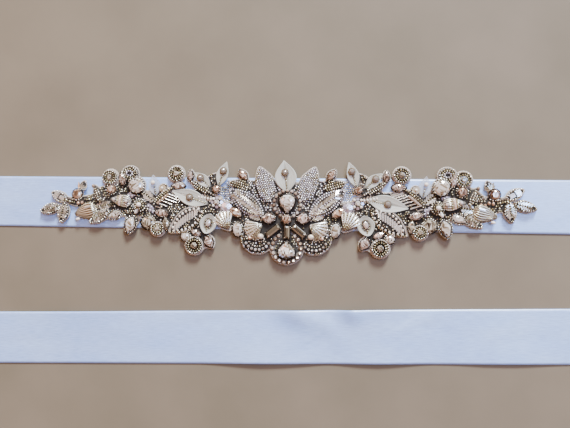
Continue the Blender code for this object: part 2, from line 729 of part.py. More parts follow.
def parting_forms():
    """The centre wall's edge forms, a little enlarged, which the side walls stop short of."""
    for form in wall_forms("centre", 0):
        if form.felt and form.reach > PARTING_REACH and abs(form.centre.x) > PARTING_REACH:
            grow = 1 + WALL_PARTING / form.reach
            outline = [form.centre + (p - form.centre) * grow for p in form.outline]
            yield Form("cutter", form.centre, outline)


def applique():
    parting = list(parting_forms())
    relief_wall("applique_centre", "centre", 0, [])
    relief_wall("applique_left", "side", -1, parting)
    relief_wall("applique_right", "side", 1, parting)
    for piece in PIECES:
        for side in SIDES[piece.place]:
            if piece.build == "petal":
                petal(piece, side)
            else:
                set_piece(piece, side)


def main():
    for old in list(bpy.data.objects):
        bpy.data.objects.remove(old, do_unlink=True)
    ribbon()
    applique()


main()
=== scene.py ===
"""Looks of a bridal sash: a satin ribbon laid in a flat loop, with a felt applique of seed beads, bugles,
pearls, cut stones and silk petals sewn on the middle of its front run. Sizes are in millimetres, in the
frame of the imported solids, and become metres when a mesh is finished."""

import math
import random
from collections import namedtuple

import bmesh
import bpy
from mathutils import Matrix, Vector
from mathutils.bvhtree import BVHTree
from mathutils.kdtree import KDTree


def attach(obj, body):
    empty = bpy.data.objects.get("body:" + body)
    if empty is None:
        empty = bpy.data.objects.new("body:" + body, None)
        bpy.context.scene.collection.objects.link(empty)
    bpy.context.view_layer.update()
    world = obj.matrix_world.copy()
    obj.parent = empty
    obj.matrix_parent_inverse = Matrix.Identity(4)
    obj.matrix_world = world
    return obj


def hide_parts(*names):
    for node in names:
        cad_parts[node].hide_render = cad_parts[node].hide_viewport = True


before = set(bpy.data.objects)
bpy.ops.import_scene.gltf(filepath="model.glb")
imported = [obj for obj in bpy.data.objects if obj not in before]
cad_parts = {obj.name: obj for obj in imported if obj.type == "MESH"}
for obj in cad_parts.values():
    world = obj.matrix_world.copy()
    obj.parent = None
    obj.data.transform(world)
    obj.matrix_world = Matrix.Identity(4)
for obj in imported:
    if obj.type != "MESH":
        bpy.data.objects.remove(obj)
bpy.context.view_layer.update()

MM = 0.001
chance = random.Random(38)

# The camera looks straight down, as the photo was taken, turned and tilted a few degrees
PHOTO_WIDTH = 570
FOCAL_PIXELS = 547.5
SENSOR = 36.0
CAMERA_PLACE = (33.8, -33.5, 398.6)
CAMERA_TURNS = ((1.06, "Z"), (4.96, "Y"), (3.85, "X"))

# The ribbon: 2.5 yards of 1.5 inch satin, laid as its solids are
RIBBON_LENGTH = 2286.0
RIBBON_WIDTH = 38.0
RIBBON_CLOTH = 0.45
RIBBON_REST = 0.5
RIBBON_LOWEST = -0.2
LAYER_STEP = 1.4
LEFT_CORNER = -400.0
BACK_RUN_DROP = 96.0
BACK_RUN_SLANT = math.radians(1.86)
TAIL_GAP = 12.0
TAIL_CUT_SLANT = 0.45
ROW_STEP = 4.0
RIBBON_COLUMNS = 22
CREASE_REACH = 46.0
CREASE_STEPS = 12
LIFT_NEAR = 24.0
LIFT_FAR = 84.0
BEND_STEPS = 8
EDGE_LEAN = 1.6

# The felt plate that carries the beadwork, and the cloth petals on it
PLATE_TOP = 2.5
SEAM = 0.3
RIM_SHADE = 3.0
OUTWARD_DRIFT = 5.5
DROOP = 3.0
SOLID_CLOTH = 1.0
PETAL_CUP = 0.75
PETAL_CURL = 0.25
CURL_START = 0.55
CUP_WIDTH = 12.4
SILK = 0.32
BEAD_SHELL = 0.4

# Stock sizes of what is sewn on, and the gaps from bead to bead
SEED = 1.7
SEED_SHAPE = (SEED * 0.8, SEED, SEED)
CLOSE = SEED * 1.02
LOOSE = SEED * 1.05
FAN_RIBS = 7
BUGLE = 1.35
PEARL = 2.5
CLAW_SHAPE = (1.3, 0.75, 0.75)
CORD = 1.35
CORD_PITCH = 3.2

# The filling's rows of seeds, from the lower left corner of the applique
FILL_STEP = 1.62
FILL_CORNER = (-188, -47)
FILL_SIZE = (376, 84)
FILL_JITTER = 0.3

Wave = namedtuple("Wave", "centre half_length height edge")
FRONT_WAVES = [Wave(-285, 60, 1.6, 1), Wave(285, 70, 1.8, -1), Wave(430, 80, 2.6, 1), Wave(545, 60, 1.8, -1)]
BACK_WAVES = [
    Wave(-330, 55, 2.0, -1), Wave(-150, 70, 1.8, 1), Wave(-12, 52, 2.0, -1),
    Wave(66, 40, 1.6, -1), Wave(60, 46, 2.4, 1), Wave(165, 60, 1.1, -1),
    Wave(330, 60, 2.2, 1), Wave(455, 70, 2.4, -1), Wave(560, 60, 1.6, 1),
]

# Soft creases pressed into the satin. across is the share of the half width where the
# crease has its middle, turn its direction in degrees, and a negative depth is a trough.
Crease = namedtuple("Crease", "x across reach spread depth turn")
FRONT_CREASES = [
    Crease(-362, 0.3, 26, 5.0, -0.30, 58), Crease(-318, -0.4, 20, 4.0, 0.22, 40),
    Crease(-246, 0.5, 30, 4.5, -0.25, 12), Crease(-214, -0.2, 22, 3.0, 0.18, -20),
    Crease(-196, 0.1, 15, 2.5, -0.14, 75), Crease(204, 0.4, 18, 3.0, -0.16, -65),
    Crease(233, -0.3, 24, 4.0, 0.20, 15), Crease(312, 0.2, 30, 5.0, -0.30, -10),
    Crease(366, -0.5, 22, 4.0, 0.25, 30), Crease(478, 0.0, 36, 5.5, -0.32, -8),
    Crease(590, 0.4, 24, 4.5, 0.26, -45), Crease(628, -0.2, 22, 5.0, -0.30, -60),
]
BACK_CREASES = [
    Crease(-371, 0.1, 24, 5.0, -0.30, -52), Crease(-262, 0.5, 26, 4.0, 0.20, 14),
    Crease(-205, -0.2, 34, 3.6, -0.20, 4), Crease(-118, 0.2, 22, 3.0, 0.14, -18),
    Crease(-58, 0.55, 26, 3.4, -0.24, 10), Crease(9, 0.92, 16, 9.0, 3.4, -30),
    Crease(31, 0.35, 13, 5.0, 0.8, -52), Crease(48, 0.95, 8, 6.0, 2.4, -60),
    Crease(92, 0.5, 16, 3.6, 0.55, 30), Crease(150, 0.2, 20, 5.0, 0.6, 64),
    Crease(16, -0.4, 22, 3.6, -0.26, 28), Crease(82, -0.3, 18, 3.4, 0.26, 40),
    Crease(104, 0.3, 24, 3.6, -0.18, -14), Crease(178, -0.1, 30, 4.0, -0.20, 6),
    Crease(262, 0.4, 24, 4.4, 0.22, -22), Crease(388, -0.3, 30, 5.0, -0.28, 12),
    Crease(505, 0.3, 26, 4.6, 0.26, -16), Crease(618, 0.0, 24, 5.0, -0.30, 55),
]

# The low beadwork that is raised on the felt, each motif on both sides of the middle. u is the distance
# from the middle of the applique, v the height above the ribbon's centreline, and turn the direction of
# the tip in degrees, where 0 points away from the middle and 90 up.
Motif = namedtuple("Motif", "work shape u v turn length width height")
MOTIFS = [
    # end sprig
    Motif("sprig_leaf", "leaf", 173.5, -3.0, -14, 16.0, 7.5, 2.0),
    Motif("sprig_leaf", "leaf", 163.0, -6.5, -80, 15.0, 8.0, 2.2),
    Motif("white_leaf", "leaf", 166.5, 6.0, 28, 14.5, 7.0, 1.9),
    Motif("amber_stone", "oval", 152.5, 6.8, 0, 7.0, 7.0, 2.8),
    Motif("bugle_tuft", "leaf", 149.0, 12.8, 112, 8.5, 4.5, 1.8),
    Motif("bead_stem", "leaf", 153.5, 1.0, 12, 26.0, 5.0, 1.0),
    # outer cluster
    Motif("sprig_leaf", "leaf", 135.6, -10.8, -33, 18.0, 8.0, 2.4),
    Motif("bead_column", "leaf", 137.4, 6.2, 64, 15.0, 5.5, 2.2),
    Motif("ringed_disc", "oval", 116.2, 21.4, 0, 12.5, 11.0, 1.8),
    Motif("mauve_stone", "leaf", 120.9, 17.2, 75, 9.6, 5.4, 2.6),
    Motif("amber_stone", "oval", 128.2, 9.6, 0, 6.6, 6.0, 2.6),
    Motif("pearl_cup", "oval", 108.4, -2.2, 0, 9.4, 9.4, 2.8),
    Motif("brown_stone", "oval", 102.6, -15.0, 0, 9.4, 8.8, 2.0),
    # inner cluster
    Motif("gold_cup", "oval", 92.4, 10.6, 0, 6.0, 6.0, 1.6),
    Motif("bar_leaf", "leaf", 91.0, 5.0, 140, 20.0, 6.5, 2.0),
    Motif("pink_stone", "leaf", 80.5, 12.4, 0, 9.5, 5.5, 2.0),
    Motif("pink_stone", "leaf", 92.8, -8.0, 10, 10.0, 5.5, 2.6),
    Motif("great_leaf", "leaf", 73.8, -12.6, -36, 32.0, 16.0, 2.6),
    Motif("brown_stone", "leaf", 89.4, -15.6, 85, 9.0, 5.0, 2.2),
    Motif("cream_stone", "oval", 74.4, -24.8, 0, 6.0, 6.0, 2.0),
    Motif("pink_stone", "leaf", 66.6, -22.0, 25, 8.0, 4.5, 2.0),
    Motif("gold_rows", "leaf", 63.5, 11.4, 30, 19.0, 6.0, 1.6),
    # centre
    Motif("lilac_rosette", "oval", 44.2, -3.0, 0, 7.8, 7.8, 1.8),
    Motif("peach_stone", "leaf", 37.6, -6.4, 35, 10.0, 6.0, 2.4),
    Motif("cream_stone", "oval", 35.6, -19.2, 80, 9.5, 6.6, 2.4),
    Motif("gold_rows", "leaf", 34.4, 13.2, 17, 17.0, 7.5, 2.0),
    Motif("pale_wing", "leaf", 15.6, 13.2, 70, 29.0, 14.5, 2.6),
    Motif("silver_wing", "leaf", 29.4, 0.6, 37, 32.0, 14.0, 2.8),
    Motif("scroll_lobe", "oval", 20.6, -25.6, 0, 23.6, 21.8, 1.4),
    # flat on the felt, between the raised ones
    Motif("bugle_leaf", "leaf", 87.0, 1.6, 148, 27.0, 11.5, 0.0),
    Motif("sequin_spray", "oval", 100.6, -4.6, 60, 8.0, 6.0, 0.0),
    Motif("sequin_spray", "oval", 114.5, 5.6, 0, 6.0, 5.0, 0.0),
    Motif("pearl_spray", "leaf", 60.5, 3.6, 10, 14.0, 6.0, 0.0),
    Motif("silver_spray", "leaf", 22.0, -8.6, 20, 15.0, 8.0, 0.0),
    Motif("silver_spray", "leaf", 132.0, -2.4, 170, 16.0, 6.0, 0.0),
    Motif("silver_spray", "leaf", 103.0, 4.4, 40, 12.0, 7.0, 0.0),
]

# Rings of small claw-set stones round the two pear stones
Halo = namedtuple("Halo", "u v radius stones start sweep stone height")
HALOS = [Halo(0.7, -0.4, 9.7, 17, -60, 300, 2.7, 2.2), Halo(0.7, -32.0, 10.4, 16, 124, 292, 3.0, 2.0)]

# What stands on the plate, one for each solid
Piece = namedtuple("Piece", "name work place shape u v turn length width height seat")
PIECES = [
    Piece("beaded_disc_outer", "flower_disc", "pair", "oval", 129.4, 18.4, 90, 12.0, 12.0, 3.2, 0.0),
    Piece("beaded_disc_upper", "flower_disc", "pair", "oval", 82.5, 21.2, 90, 12.2, 12.2, 3.2, 0.0),
    Piece("beaded_disc_lower", "flower_disc", "pair", "oval", 67.5, -31.4, 90, 13.4, 13.4, 3.2, 0.0),
    Piece("beaded_disc_edge", "flower_disc", "pair", "oval", 95.4, -19.6, 90, 10.8, 10.8, 3.0, 0.0),
    Piece("round_shell", "pale_shell", "pair", "oval", 111.4, 12.4, 60, 13.0, 12.6, 4.0, 0.4),
    Piece("bud_outer", "bronze_bud", "pair", "drop", 145.6, -6.6, -14, 17.0, 12.0, 3.6, 0.0),
    Piece("bud_middle", "banded_bud", "pair", "drop", 121.2, 1.0, 8, 16.0, 9.6, 3.8, 0.4),
    Piece("fan_shell", "white_fan", "pair", "drop", 44.6, -14.0, -120, 13.0, 12.4, 4.2, 0.0),
    Piece("fan_bud", "cream_fan", "pair", "drop", 21.2, -20.0, -75, 13.6, 12.6, 4.6, 1.2),
    Piece("marquise_upper", "champagne_stone", "pair", "leaf", 71.6, 20.2, 90, 8.6, 5.0, 2.6, 0.0),
    Piece("marquise_outer", "clear_stone", "pair", "leaf", 125.4, -9.6, -24, 12.0, 6.4, 2.8, 0.0),
    Piece("marquise_centre", "orange_stone", "pair", "leaf", 32.4, 21.0, 55, 9.6, 6.0, 2.8, 0.0),
    Piece("drop_stone", "clear_stone", "pair", "leaf", 114.8, -17.0, -74, 13.5, 8.6, 3.2, 0.0),
    Piece("hex_stone", "champagne_stone", "pair", "leaf", 56.4, -28.6, -118, 10.0, 7.6, 3.0, 0.0),
    Piece("amber_knot", "orange_stone", "pair", "oval", 52.0, 10.2, 0, 6.2, 6.2, 3.2, 0.0),
    Piece("pale_rosette", "pale_flower", "pair", "oval", 51.4, 0.6, 0, 9.4, 9.4, 3.4, 0.0),
    Piece("square_stone", "champagne_stone", "pair", "leaf", 12.8, -10.8, 0, 11.4, 8.6, 3.4, 1.2),
    Piece("baguette", "bar_stone", "pair", "box", 9.4, -20.0, -39, 12.0, 4.8, 2.8, 1.8),
    Piece("baguette_middle", "bar_stone", "middle", "box", 0.9, -20.8, -90, 9.4, 4.4, 2.8, 1.8),
    Piece("pear_stone_top", "great_stone", "middle", "drop", 0.7, -0.2, -90, 14.2, 12.0, 4.2, 1.6),
    Piece("pear_stone_bottom", "great_stone", "middle", "drop", 0.7, -33.6, 90, 13.0, 13.2, 4.2, 1.2),
    Piece("amber_round", "orange_stone", "middle", "oval", 0.3, -11.4, 0, 7.4, 7.4, 3.8, 1.8),
    Piece("petal_top", "silk_petal", "middle", "leaf", -1.0, 20.0, 97, 23.6, 16.0, 2.4, 0.0),
    Piece("petal_pointed", "silk_petal", "pair", "leaf", 47.6, 21.6, 108, 19.0, 8.6, 2.0, 0.0),
    Piece("petal_upper", "silk_petal", "pair", "leaf", 62.6, 17.2, 42, 16.0, 8.2, 2.0, 0.0),
    Piece("petal_long", "silk_petal", "left", "leaf", 71.7, 4.0, 19, 29.0, 11.8, 2.4, 0.0),
    Piece("petal_long", "silk_petal", "right", "leaf", 72.7, 0.4, -12, 30.0, 12.2, 2.4, 0.0),
    Piece("petal_cup", "cup_petal", "pair", "leaf", 57.4, -15.4, -76, 15.0, 9.4, 2.6, 0.0),
    Piece("petal_sheer", "sheer_petal", "pair", "leaf", 98.7, 12.8, 80, 16.0, 9.0, 1.8, 0.0),
]
SIDES = {"middle": (0,), "left": (-1,), "right": (1,), "pair": (-1, 1)}
SUFFIXES = {-1: "_left", 0: "", 1: "_right"}
FELT_WALLS = ("applique_left", "applique_centre", "applique_right")


def smooth(low, high, value):
    """0 below low, 1 above high, and an even curve between them."""
    share = min(1.0, max(0.0, (value - low) / (high - low)))
    return share * share * (3 - 2 * share)


def toward(angle):
    return Vector((math.cos(angle), math.sin(angle)))


def placed(name, data):
    """A new object in the scene."""
    made = bpy.data.objects.new(name, data)
    bpy.context.scene.collection.objects.link(made)
    return made


def camera():
    data = bpy.data.cameras.new("camera")
    data.sensor_width = SENSOR
    data.lens = SENSOR * FOCAL_PIXELS / PHOTO_WIDTH
    data.clip_start = 0.01
    stand = Matrix.Translation(Vector(CAMERA_PLACE) * MM)
    for angle, axis in CAMERA_TURNS:
        stand = stand @ Matrix.Rotation(math.radians(angle), 4, axis)
    made = placed("camera", data)
    made.matrix_world = stand
    bpy.context.scene.camera = made


# Materials

def linear(hex_colour):
    """A linear colour from an sRGB hex value."""
    values = [int(hex_colour[k : k + 2], 16) / 255 for k in (1, 3, 5)]
    return (*(v / 12.92 if v <= 0.04045 else ((v + 0.055) / 1.055) ** 2.4 for v in values), 1.0)


def give(node, **given):
    """Fills in a node. Each name is a setting of it, or a socket, which takes a value, an output, or
    another node for its first output."""
    for name, value in given.items():
        sockets = [s for s in node.inputs if name == s.identifier or name.replace("_", " ") == s.name]
        if name == "stops":
            points = node.color_ramp.elements
            while len(points) < len(value):
                points.new(0.5)
            for point, (place, colour) in zip(points, value.items()):
                point.position = place
                point.color = linear(colour)
        elif not sockets:
            setattr(node, name, value)
        elif isinstance(value, (bpy.types.Node, bpy.types.NodeSocket)):
            node.id_data.links.new(getattr(value, "outputs", [value])[0], sockets[0])
        else:
            sockets[0].default_value = value
    return node


def add(tree, kind, **given):
    """Adds a node with its settings, values and links."""
    return give(tree.nodes.new(kind), **given)


def shader_of(material):
    return material.node_tree.nodes["Principled BSDF"]


def new_material(name, colour, roughness, metallic=0.0, **sockets):
    made = bpy.data.materials.new(name)
    made.use_nodes = True
    give(shader_of(made), Base_Color=linear(colour), Roughness=roughness, Metallic=metallic, **sockets)
    return made


def varied(name, attribute, stops, roughness, metallic=0.0, **sockets):
    """A material whose colour goes from bead to bead, facet to facet or rib to groove."""
    made = new_material(name, stops[0], roughness, metallic, **sockets)
    value = add(made.node_tree, "ShaderNodeAttribute", attribute_name=attribute)
    tone = add(made.node_tree, "ShaderNodeValToRGB", stops=stops, Fac=value.outputs["Fac"])
    give(shader_of(made), Base_Color=tone)
    return made


def threaded(made, tone, threads, share, height, strength, distance):
    """Gives a cloth its tone, darker between its threads, and raises the threads."""
    mixed = add(
        made.node_tree, "ShaderNodeMix",
        data_type="RGBA", blend_type="MULTIPLY", Factor=share, A_Color=tone, B_Color=threads,
    )
    bump = add(made.node_tree, "ShaderNodeBump", Strength=strength, Distance=distance, Height=height)
    give(shader_of(made), Base_Color=mixed.outputs[2], Normal=bump)
    return made


def satin():
    """Double-face polyester satin: long floats along the ribbon give it a smooth, soft shine. Its base
    colour is a stronger blue than the cloth's, a painted reflection of cool sky light, which the sky lamp
    and the blue sheen add to. The threads are 0.12 mm, too fine for the picture, so they are drawn as
    streaks about
    1 mm wide."""
    made = new_material(
        "polyester_satin", "#aacbff", 0.34,
        Specular_IOR_Level=1.0, Sheen_Weight=0.8, Sheen_Tint=linear("#78b0ff"),
    )
    tree = made.node_tree
    place = add(tree, "ShaderNodeUVMap", uv_map="ribbon")
    long = add(tree, "ShaderNodeMapping", Scale=(0.14, 1.5, 1.0), Vector=place)
    streaks = add(tree, "ShaderNodeTexNoise", Scale=1.0, Detail=4.0, Roughness=0.6, Vector=long)
    broad = add(tree, "ShaderNodeMapping", Scale=(0.02, 0.05, 1.0), Vector=place)
    clouds = add(tree, "ShaderNodeTexNoise", Scale=1.0, Detail=2.0, Vector=broad)
    # The blue tones are painted reflection of cool sky light, over a faint mottling of the satin's own.
    tone = add(tree, "ShaderNodeValToRGB", stops={0.3: "#a4c5fb", 0.7: "#b4d2ff"}, Fac=clouds)
    threads = add(tree, "ShaderNodeValToRGB", stops={0.3: "#dadbe4", 0.7: "#ffffff"}, Fac=streaks)
    return threaded(made, tone, threads, 1.0, streaks, 0.2, 0.0002)


def felt():
    """Wool felt, whipped over with cream thread at its edge. Away from the edge it is painted dark: painted
    shadow between the beads, with the brown thread there. Its fibres give a matt, slightly woolly surface."""
    made = new_material("wool_felt", "#8a7a68", 0.9, Sheen_Weight=0.15)
    tree = made.node_tree
    inward = add(tree, "ShaderNodeAttribute", attribute_name="inward").outputs["Fac"]
    place = add(tree, "ShaderNodeTexCoord").outputs["Object"]
    fibres = add(tree, "ShaderNodeTexNoise", Scale=900.0, Detail=3.0, Vector=place)
    # Pale cream thread at the rim, then painted shadow between the beads, with brown thread.
    stops = {0: "#d8cdc0", 0.22: "#a3968a", 0.5: "#2e2720", 1: "#2b241d"}
    tone = add(tree, "ShaderNodeValToRGB", stops=stops, Fac=inward)
    speckle = add(tree, "ShaderNodeValToRGB", stops={0.3: "#a59a90", 0.7: "#ffffff"}, Fac=fibres)
    return threaded(made, tone, speckle, 0.7, fibres, 0.5, 0.0003)


def silk(name, pale, shaded, **sockets):
    """Silk with a close plain weave that takes crisp folds, and a faint vein pattern from the fold lines.
    Its colour turns to the shaded one by the fold attribute: painted shade in creases, near the root and
    inside a cup. Its threads are 0.15 mm, drawn three times as coarse."""
    made = new_material(name, pale, 0.5, Sheen_Weight=0.3, **sockets)
    tree = made.node_tree
    depth = add(tree, "ShaderNodeAttribute", attribute_name="fold").outputs["Fac"]
    # Painted shade: pale on open cloth, shaded in creases, near the root and inside a cup.
    tone = add(tree, "ShaderNodeValToRGB", stops={0: pale, 1: shaded}, Fac=depth)
    place = add(tree, "ShaderNodeTexCoord").outputs["Object"]
    white, grey = linear("#ffffff"), linear("#e9e6e2")
    weave = add(tree, "ShaderNodeTexChecker", Scale=2200.0, Color1=white, Color2=grey, Vector=place)
    return threaded(made, tone, weave, 1.0, weave.outputs["Fac"], 0.2, 0.0001)


def painted_floor():
    """Smooth pale plaster board with faint mottling a few centimetres across."""
    made = new_material("plaster_board", "#776c5c", 0.75)
    tree = made.node_tree
    place = add(tree, "ShaderNodeTexCoord").outputs["Object"]
    mottle = add(tree, "ShaderNodeTexNoise", Scale=14.0, Detail=6.0, Vector=place)
    tone = add(tree, "ShaderNodeValToRGB", stops={0.35: "#6d6250", 0.65: "#766a58"}, Fac=mottle)
    give(shader_of(made), Base_Color=tone)
    return made


def beads_of(name, stops, roughness, metallic, **sockets):
    return varied(name, "shade", stops, roughness, metallic, **sockets)


def foiled(name, stops, roughness=0.07):
    """Foiled glass: each facet takes a tone at random, painted reflections of the room and of the stone's
    inner facets, on top of the real reflections of its metal and coat.
    """
    return varied(name, "facet", stops, roughness, 0.5, Coat_Weight=1.0)


def ribbed(name, stops):
    """Ribs of bugles laid side by side under a clear lustre, painted dark where they meet: the gaps between
    the bugles, and painted shade in the grooves.
    """
    return varied(name, "fold", stops, 0.22, 0.55, Coat_Weight=0.6)


SATIN = satin()
FELT = felt()
# Silk taffeta, its second colour painted shade in its folds and cups.
SILK_WHITE = silk("silk_taffeta", "#bfbfb4", "#767060")
# Silk organza: a thin open weave, so that what lies below shows through. Its second colour is painted shade
# in its folds.
ORGANZA = silk("silk_organza", "#cfd3da", "#b5b4b6", Alpha=0.4)
# Silver-lined glass seed beads: each is a tiny mirror, some tarnished
SILVER_SEEDS = beads_of("silver_lined_seeds", {0: "#857c69", 0.45: "#cecab6", 1: "#fffdf2"}, 0.18, 0.75)
# Antique gold seed beads: olive to bronze
GOLD_SEEDS = beads_of("antique_gold_seeds", {0: "#746a4e", 0.6: "#b3a784", 1: "#ede6cd"}, 0.22, 0.6)
# Lilac lustre seed beads: glass with a thin grey-pink lustre
LILAC_SEEDS = beads_of("lilac_lustre_seeds", {0: "#a8a1a8", 0.6: "#dbd5d9", 1: "#ffffff"}, 0.2, 0.45)
# Root-beer brown seed beads: dark glass; mixed into the filling they also darken the gaps, as painted
# shadow.
BROWN_SEEDS = beads_of("brown_glass_seeds", {0: "#5a483b", 1: "#a08a74"}, 0.2, 0.3)
# Silver-lined bugles: long bright tubes of cut glass
BUGLES = beads_of("silver_lined_bugles", {0: "#918977", 0.5: "#d6d0c1", 1: "#fffefa"}, 0.15, 0.72)
# Glass pearls: a milky nacre coat with a broad highlight
PEARLS = beads_of("glass_pearls", {0: "#cbb9a3", 1: "#f7f0e4"}, 0.25, 0.0, Coat_Weight=0.8)
# Amber glass rounds, and bronze-lined bar beads with a softer gleam
ORANGE_BEADS = beads_of("amber_glass_beads", {0: "#7a5a42", 1: "#c7a083"}, 0.12, 0.2, Coat_Weight=1.0)
BRONZE_BARS = beads_of("bronze_bar_beads", {0: "#6d5643", 1: "#c9b199"}, 0.2, 0.5, Coat_Weight=0.6)
# Cup sequins: a thin iridescent film over grey plastic, and a gold one
SEQUINS = beads_of("lilac_sequins", {0: "#9d98ab", 1: "#e9e4f0"}, 0.15, 0.5, Coat_Weight=0.5)
GOLD_SEQUINS = beads_of("gold_cup_sequin", {0: "#8d7b5e", 1: "#d9cbb0"}, 0.25, 0.5)
# Small stones take one tone each, because they have few facets
SMALL_CLEAR = beads_of(
    "small_rhinestones", {0: "#8f8377", 0.5: "#dcd6cd", 1: "#ffffff"}, 0.1, 0.6, Coat_Weight=1.0
)
SMALL_CHAMPAGNE = beads_of(
    "small_champagne_stones", {0: "#86705c", 0.5: "#c9b39f", 1: "#fff6ec"}, 0.1, 0.55, Coat_Weight=1.0
)
SMALL_SMOKE = beads_of("small_smoky_stones", {0: "#4c4741", 1: "#c4bfb8"}, 0.1, 0.4, Coat_Weight=1.0)
# Large rhinestones, their facet tones painted reflections
CRYSTAL = foiled("foiled_crystal", {0: "#453d31", 0.24: "#a8997f", 0.46: "#f3eee2", 1: "#ffffff"})
CHAMPAGNE = foiled("foiled_champagne", {0: "#45372e", 0.35: "#8d7768", 0.65: "#d3bfb1", 1: "#fffaf6"})
ORANGE = foiled("foiled_topaz", {0: "#4a3628", 0.35: "#96765c", 0.7: "#d0b098", 1: "#fff3e8"})
SMOKE = foiled("foiled_smoke", {0: "#2c2720", 0.4: "#6f6756", 0.7: "#c0b7a0", 1: "#fffdf2"}, 0.08)
# Oxidised brass cups, nearly black, antique gilt rings, and silver claws with worn edges that catch light
CUPS = new_material("oxidised_brass", "#211b16", 0.38, 0.8)
GILT_RINGS = new_material("antique_gilt_rings", "#6f5f48", 0.32, 0.7)
CLAWS = new_material("antique_silver_claws", "#a89c8c", 0.25, 1.0)
# Rayon cord, twisted from two strands, cream with a dull shine
CORD_THREAD = new_material("rayon_cord", "#bdb0a2", 0.5, Sheen_Weight=0.3)
# Their darkest stops are painted shade in the grooves between the ribs.
BRONZE_RIBS = ribbed("bronze_bead_ribs", {0: "#dcd4be", 0.3: "#a19478", 0.6: "#695d44", 1: "#241c14"})
CREAM_RIBS = ribbed("cream_bead_ribs", {0: "#fbf9f2", 0.3: "#ccc5b4", 0.6: "#887c62", 1: "#352b20"})
# Pink-beige satin band: a soft shine under the beads' varnish
PINK_BAND = new_material("satin_band", "#c9ad9a", 0.35, Coat_Weight=0.5)


# Meshes

def kept(name, mesh, materials=()):
    """The object of a mesh, which is freed."""
    data = bpy.data.meshes.new(name)
    mesh.to_mesh(data)
    mesh.free()
    for material in materials:
        data.materials.append(material)
    return placed(name, data)


def finished(name, mesh, materials, place=None, flat=(), closed=True):
    """The object of a mesh made in millimetres. Faces of the materials in flat keep their facets."""
    if closed:
        bmesh.ops.recalc_face_normals(mesh, faces=mesh.faces[:])
    bmesh.ops.transform(mesh, matrix=Matrix.Scale(MM, 4) @ (place or Matrix()), verts=mesh.verts[:])
    for face in mesh.faces:
        face.smooth = face.material_index not in flat
    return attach(kept(name, mesh, materials), "root")


def walled(made, thickness, offset=0.0):
    """Gives a sheet its thickness."""
    wall = made.modifiers.new("wall", "SOLIDIFY")
    wall.thickness = thickness * MM
    wall.offset = offset
    return made


def leaf_profile(share):
    return max(0.0, math.sin(math.pi * max(0.0, share) ** 0.9)) ** 0.85


def petal_profile(share):
    return leaf_profile(share) ** 1.2


def cup_profile(share):
    return math.sin(math.pi * share) ** 0.62


def pear_profile(share):
    return max(0.0, math.sin(math.pi * max(0.0, share) ** 0.62)) ** 0.8


PROFILES = {"leaf": leaf_profile, "drop": pear_profile}
BOX_CORNERS = [
    (1, -0.62), (1, 0.62), (0.88, 1), (-0.88, 1),
    (-1, 0.62), (-1, -0.62), (-0.88, -1), (0.88, -1),
]


class Patch:
    """Where a motif lies, with X from its root to its tip and Y to its outer side, on the felt."""

    def __init__(self, item, side):
        self.shape, self.side = item.shape, side
        self.length, self.width, self.height = item.length, item.width, item.height
        out = item.u - side * OUTWARD_DRIFT * smooth(96, 150, item.u)
        up = item.v + side * DROOP * smooth(128, 184, item.u)
        self.centre = Vector((side * out, up)) if side else Vector((item.u, item.v))
        self.turn = math.radians(180 - item.turn if side < 0 else item.turn)
        self.ahead = toward(self.turn)
        self.over = Vector((-self.ahead.y, self.ahead.x)) * (side or 1)

    def at(self, x, y):
        return self.centre + self.ahead * x + self.over * y

    def line(self, *points):
        """A path through local points."""
        return [self.at(x, y) for x, y in points]

    def rib(self, start, end):
        """A stretch of the midrib, from one share of the length to the other."""
        return self.line((start * self.length, 0), (end * self.length, 0))

    def steps(self, start, count, pitch):
        """Even steps along X, from a share of the length."""
        return [start * self.length + k * pitch for k in range(count)]

    def half(self, x):
        """Half the width at a distance from the middle."""
        if self.shape in PROFILES:
            return self.width / 2 * PROFILES[self.shape](x / self.length + 0.5)
        if self.shape == "box":
            return self.width / 2
        return self.width / 2 * math.sqrt(max(0.0, 1 - (2 * x / self.length) ** 2))

    def edge(self, angle, scale=1.0):
        """A point of the outline, as a local place."""
        if self.shape == "box":
            x, y = BOX_CORNERS[round(angle / math.tau * 8) % 8]
            return Vector((x * (self.length - self.width * (1 - scale)) / 2, self.width / 2 * y * scale))
        x, y = math.cos(angle), math.sin(angle)
        if self.shape != "oval":
            y = math.copysign(PROFILES[self.shape]((1 + x) / 2), y)
        return Vector((self.length / 2 * x * scale, self.width / 2 * y * scale))

    def ring(self, inset, start=0.0, sweep=math.tau, steps=72):
        """The outline as places on the felt, drawn in by the inset."""
        scale_x = 1 - 2 * inset / self.length
        scale_y = 1 - 2 * inset / self.width
        corners = [self.edge(start + sweep * k / steps) for k in range(steps + 1)]
        return [self.at(p.x * scale_x, p.y * scale_y) for p in corners]

    def stand(self, base):
        """The matrix that stands a local form here, with its lowest level at the base height."""
        return Matrix.Translation((*self.centre, base)) @ Matrix.Rotation(self.turn, 4, "Z")


def felt_tree():
    points, faces = [], []
    for name in FELT_WALLS:
        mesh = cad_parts[name].data
        first = len(points)
        points += [v.co / MM for v in mesh.vertices]
        faces += [[first + k for k in p.vertices] for p in mesh.polygons]
    return BVHTree.FromPolygons(points, faces)


FELT_TREE = felt_tree()


def felt_top(place):
    """The height of the felt at a place, or None beside it."""
    hit = FELT_TREE.ray_cast(Vector((place.x, place.y, 50.0)), Vector((0, 0, -1)))
    return hit[0].z if hit[0] else None


# Beads are listed by kind as they are sewn, and each kind becomes one mesh at the end

Bead = namedtuple("Bead", "place turn size shade")
beads = {}
CELL = 3.0
spots = {}


def mark(place, radius):
    spots.setdefault((int(place.x // CELL), int(place.y // CELL)), []).append((place.x, place.y, radius))


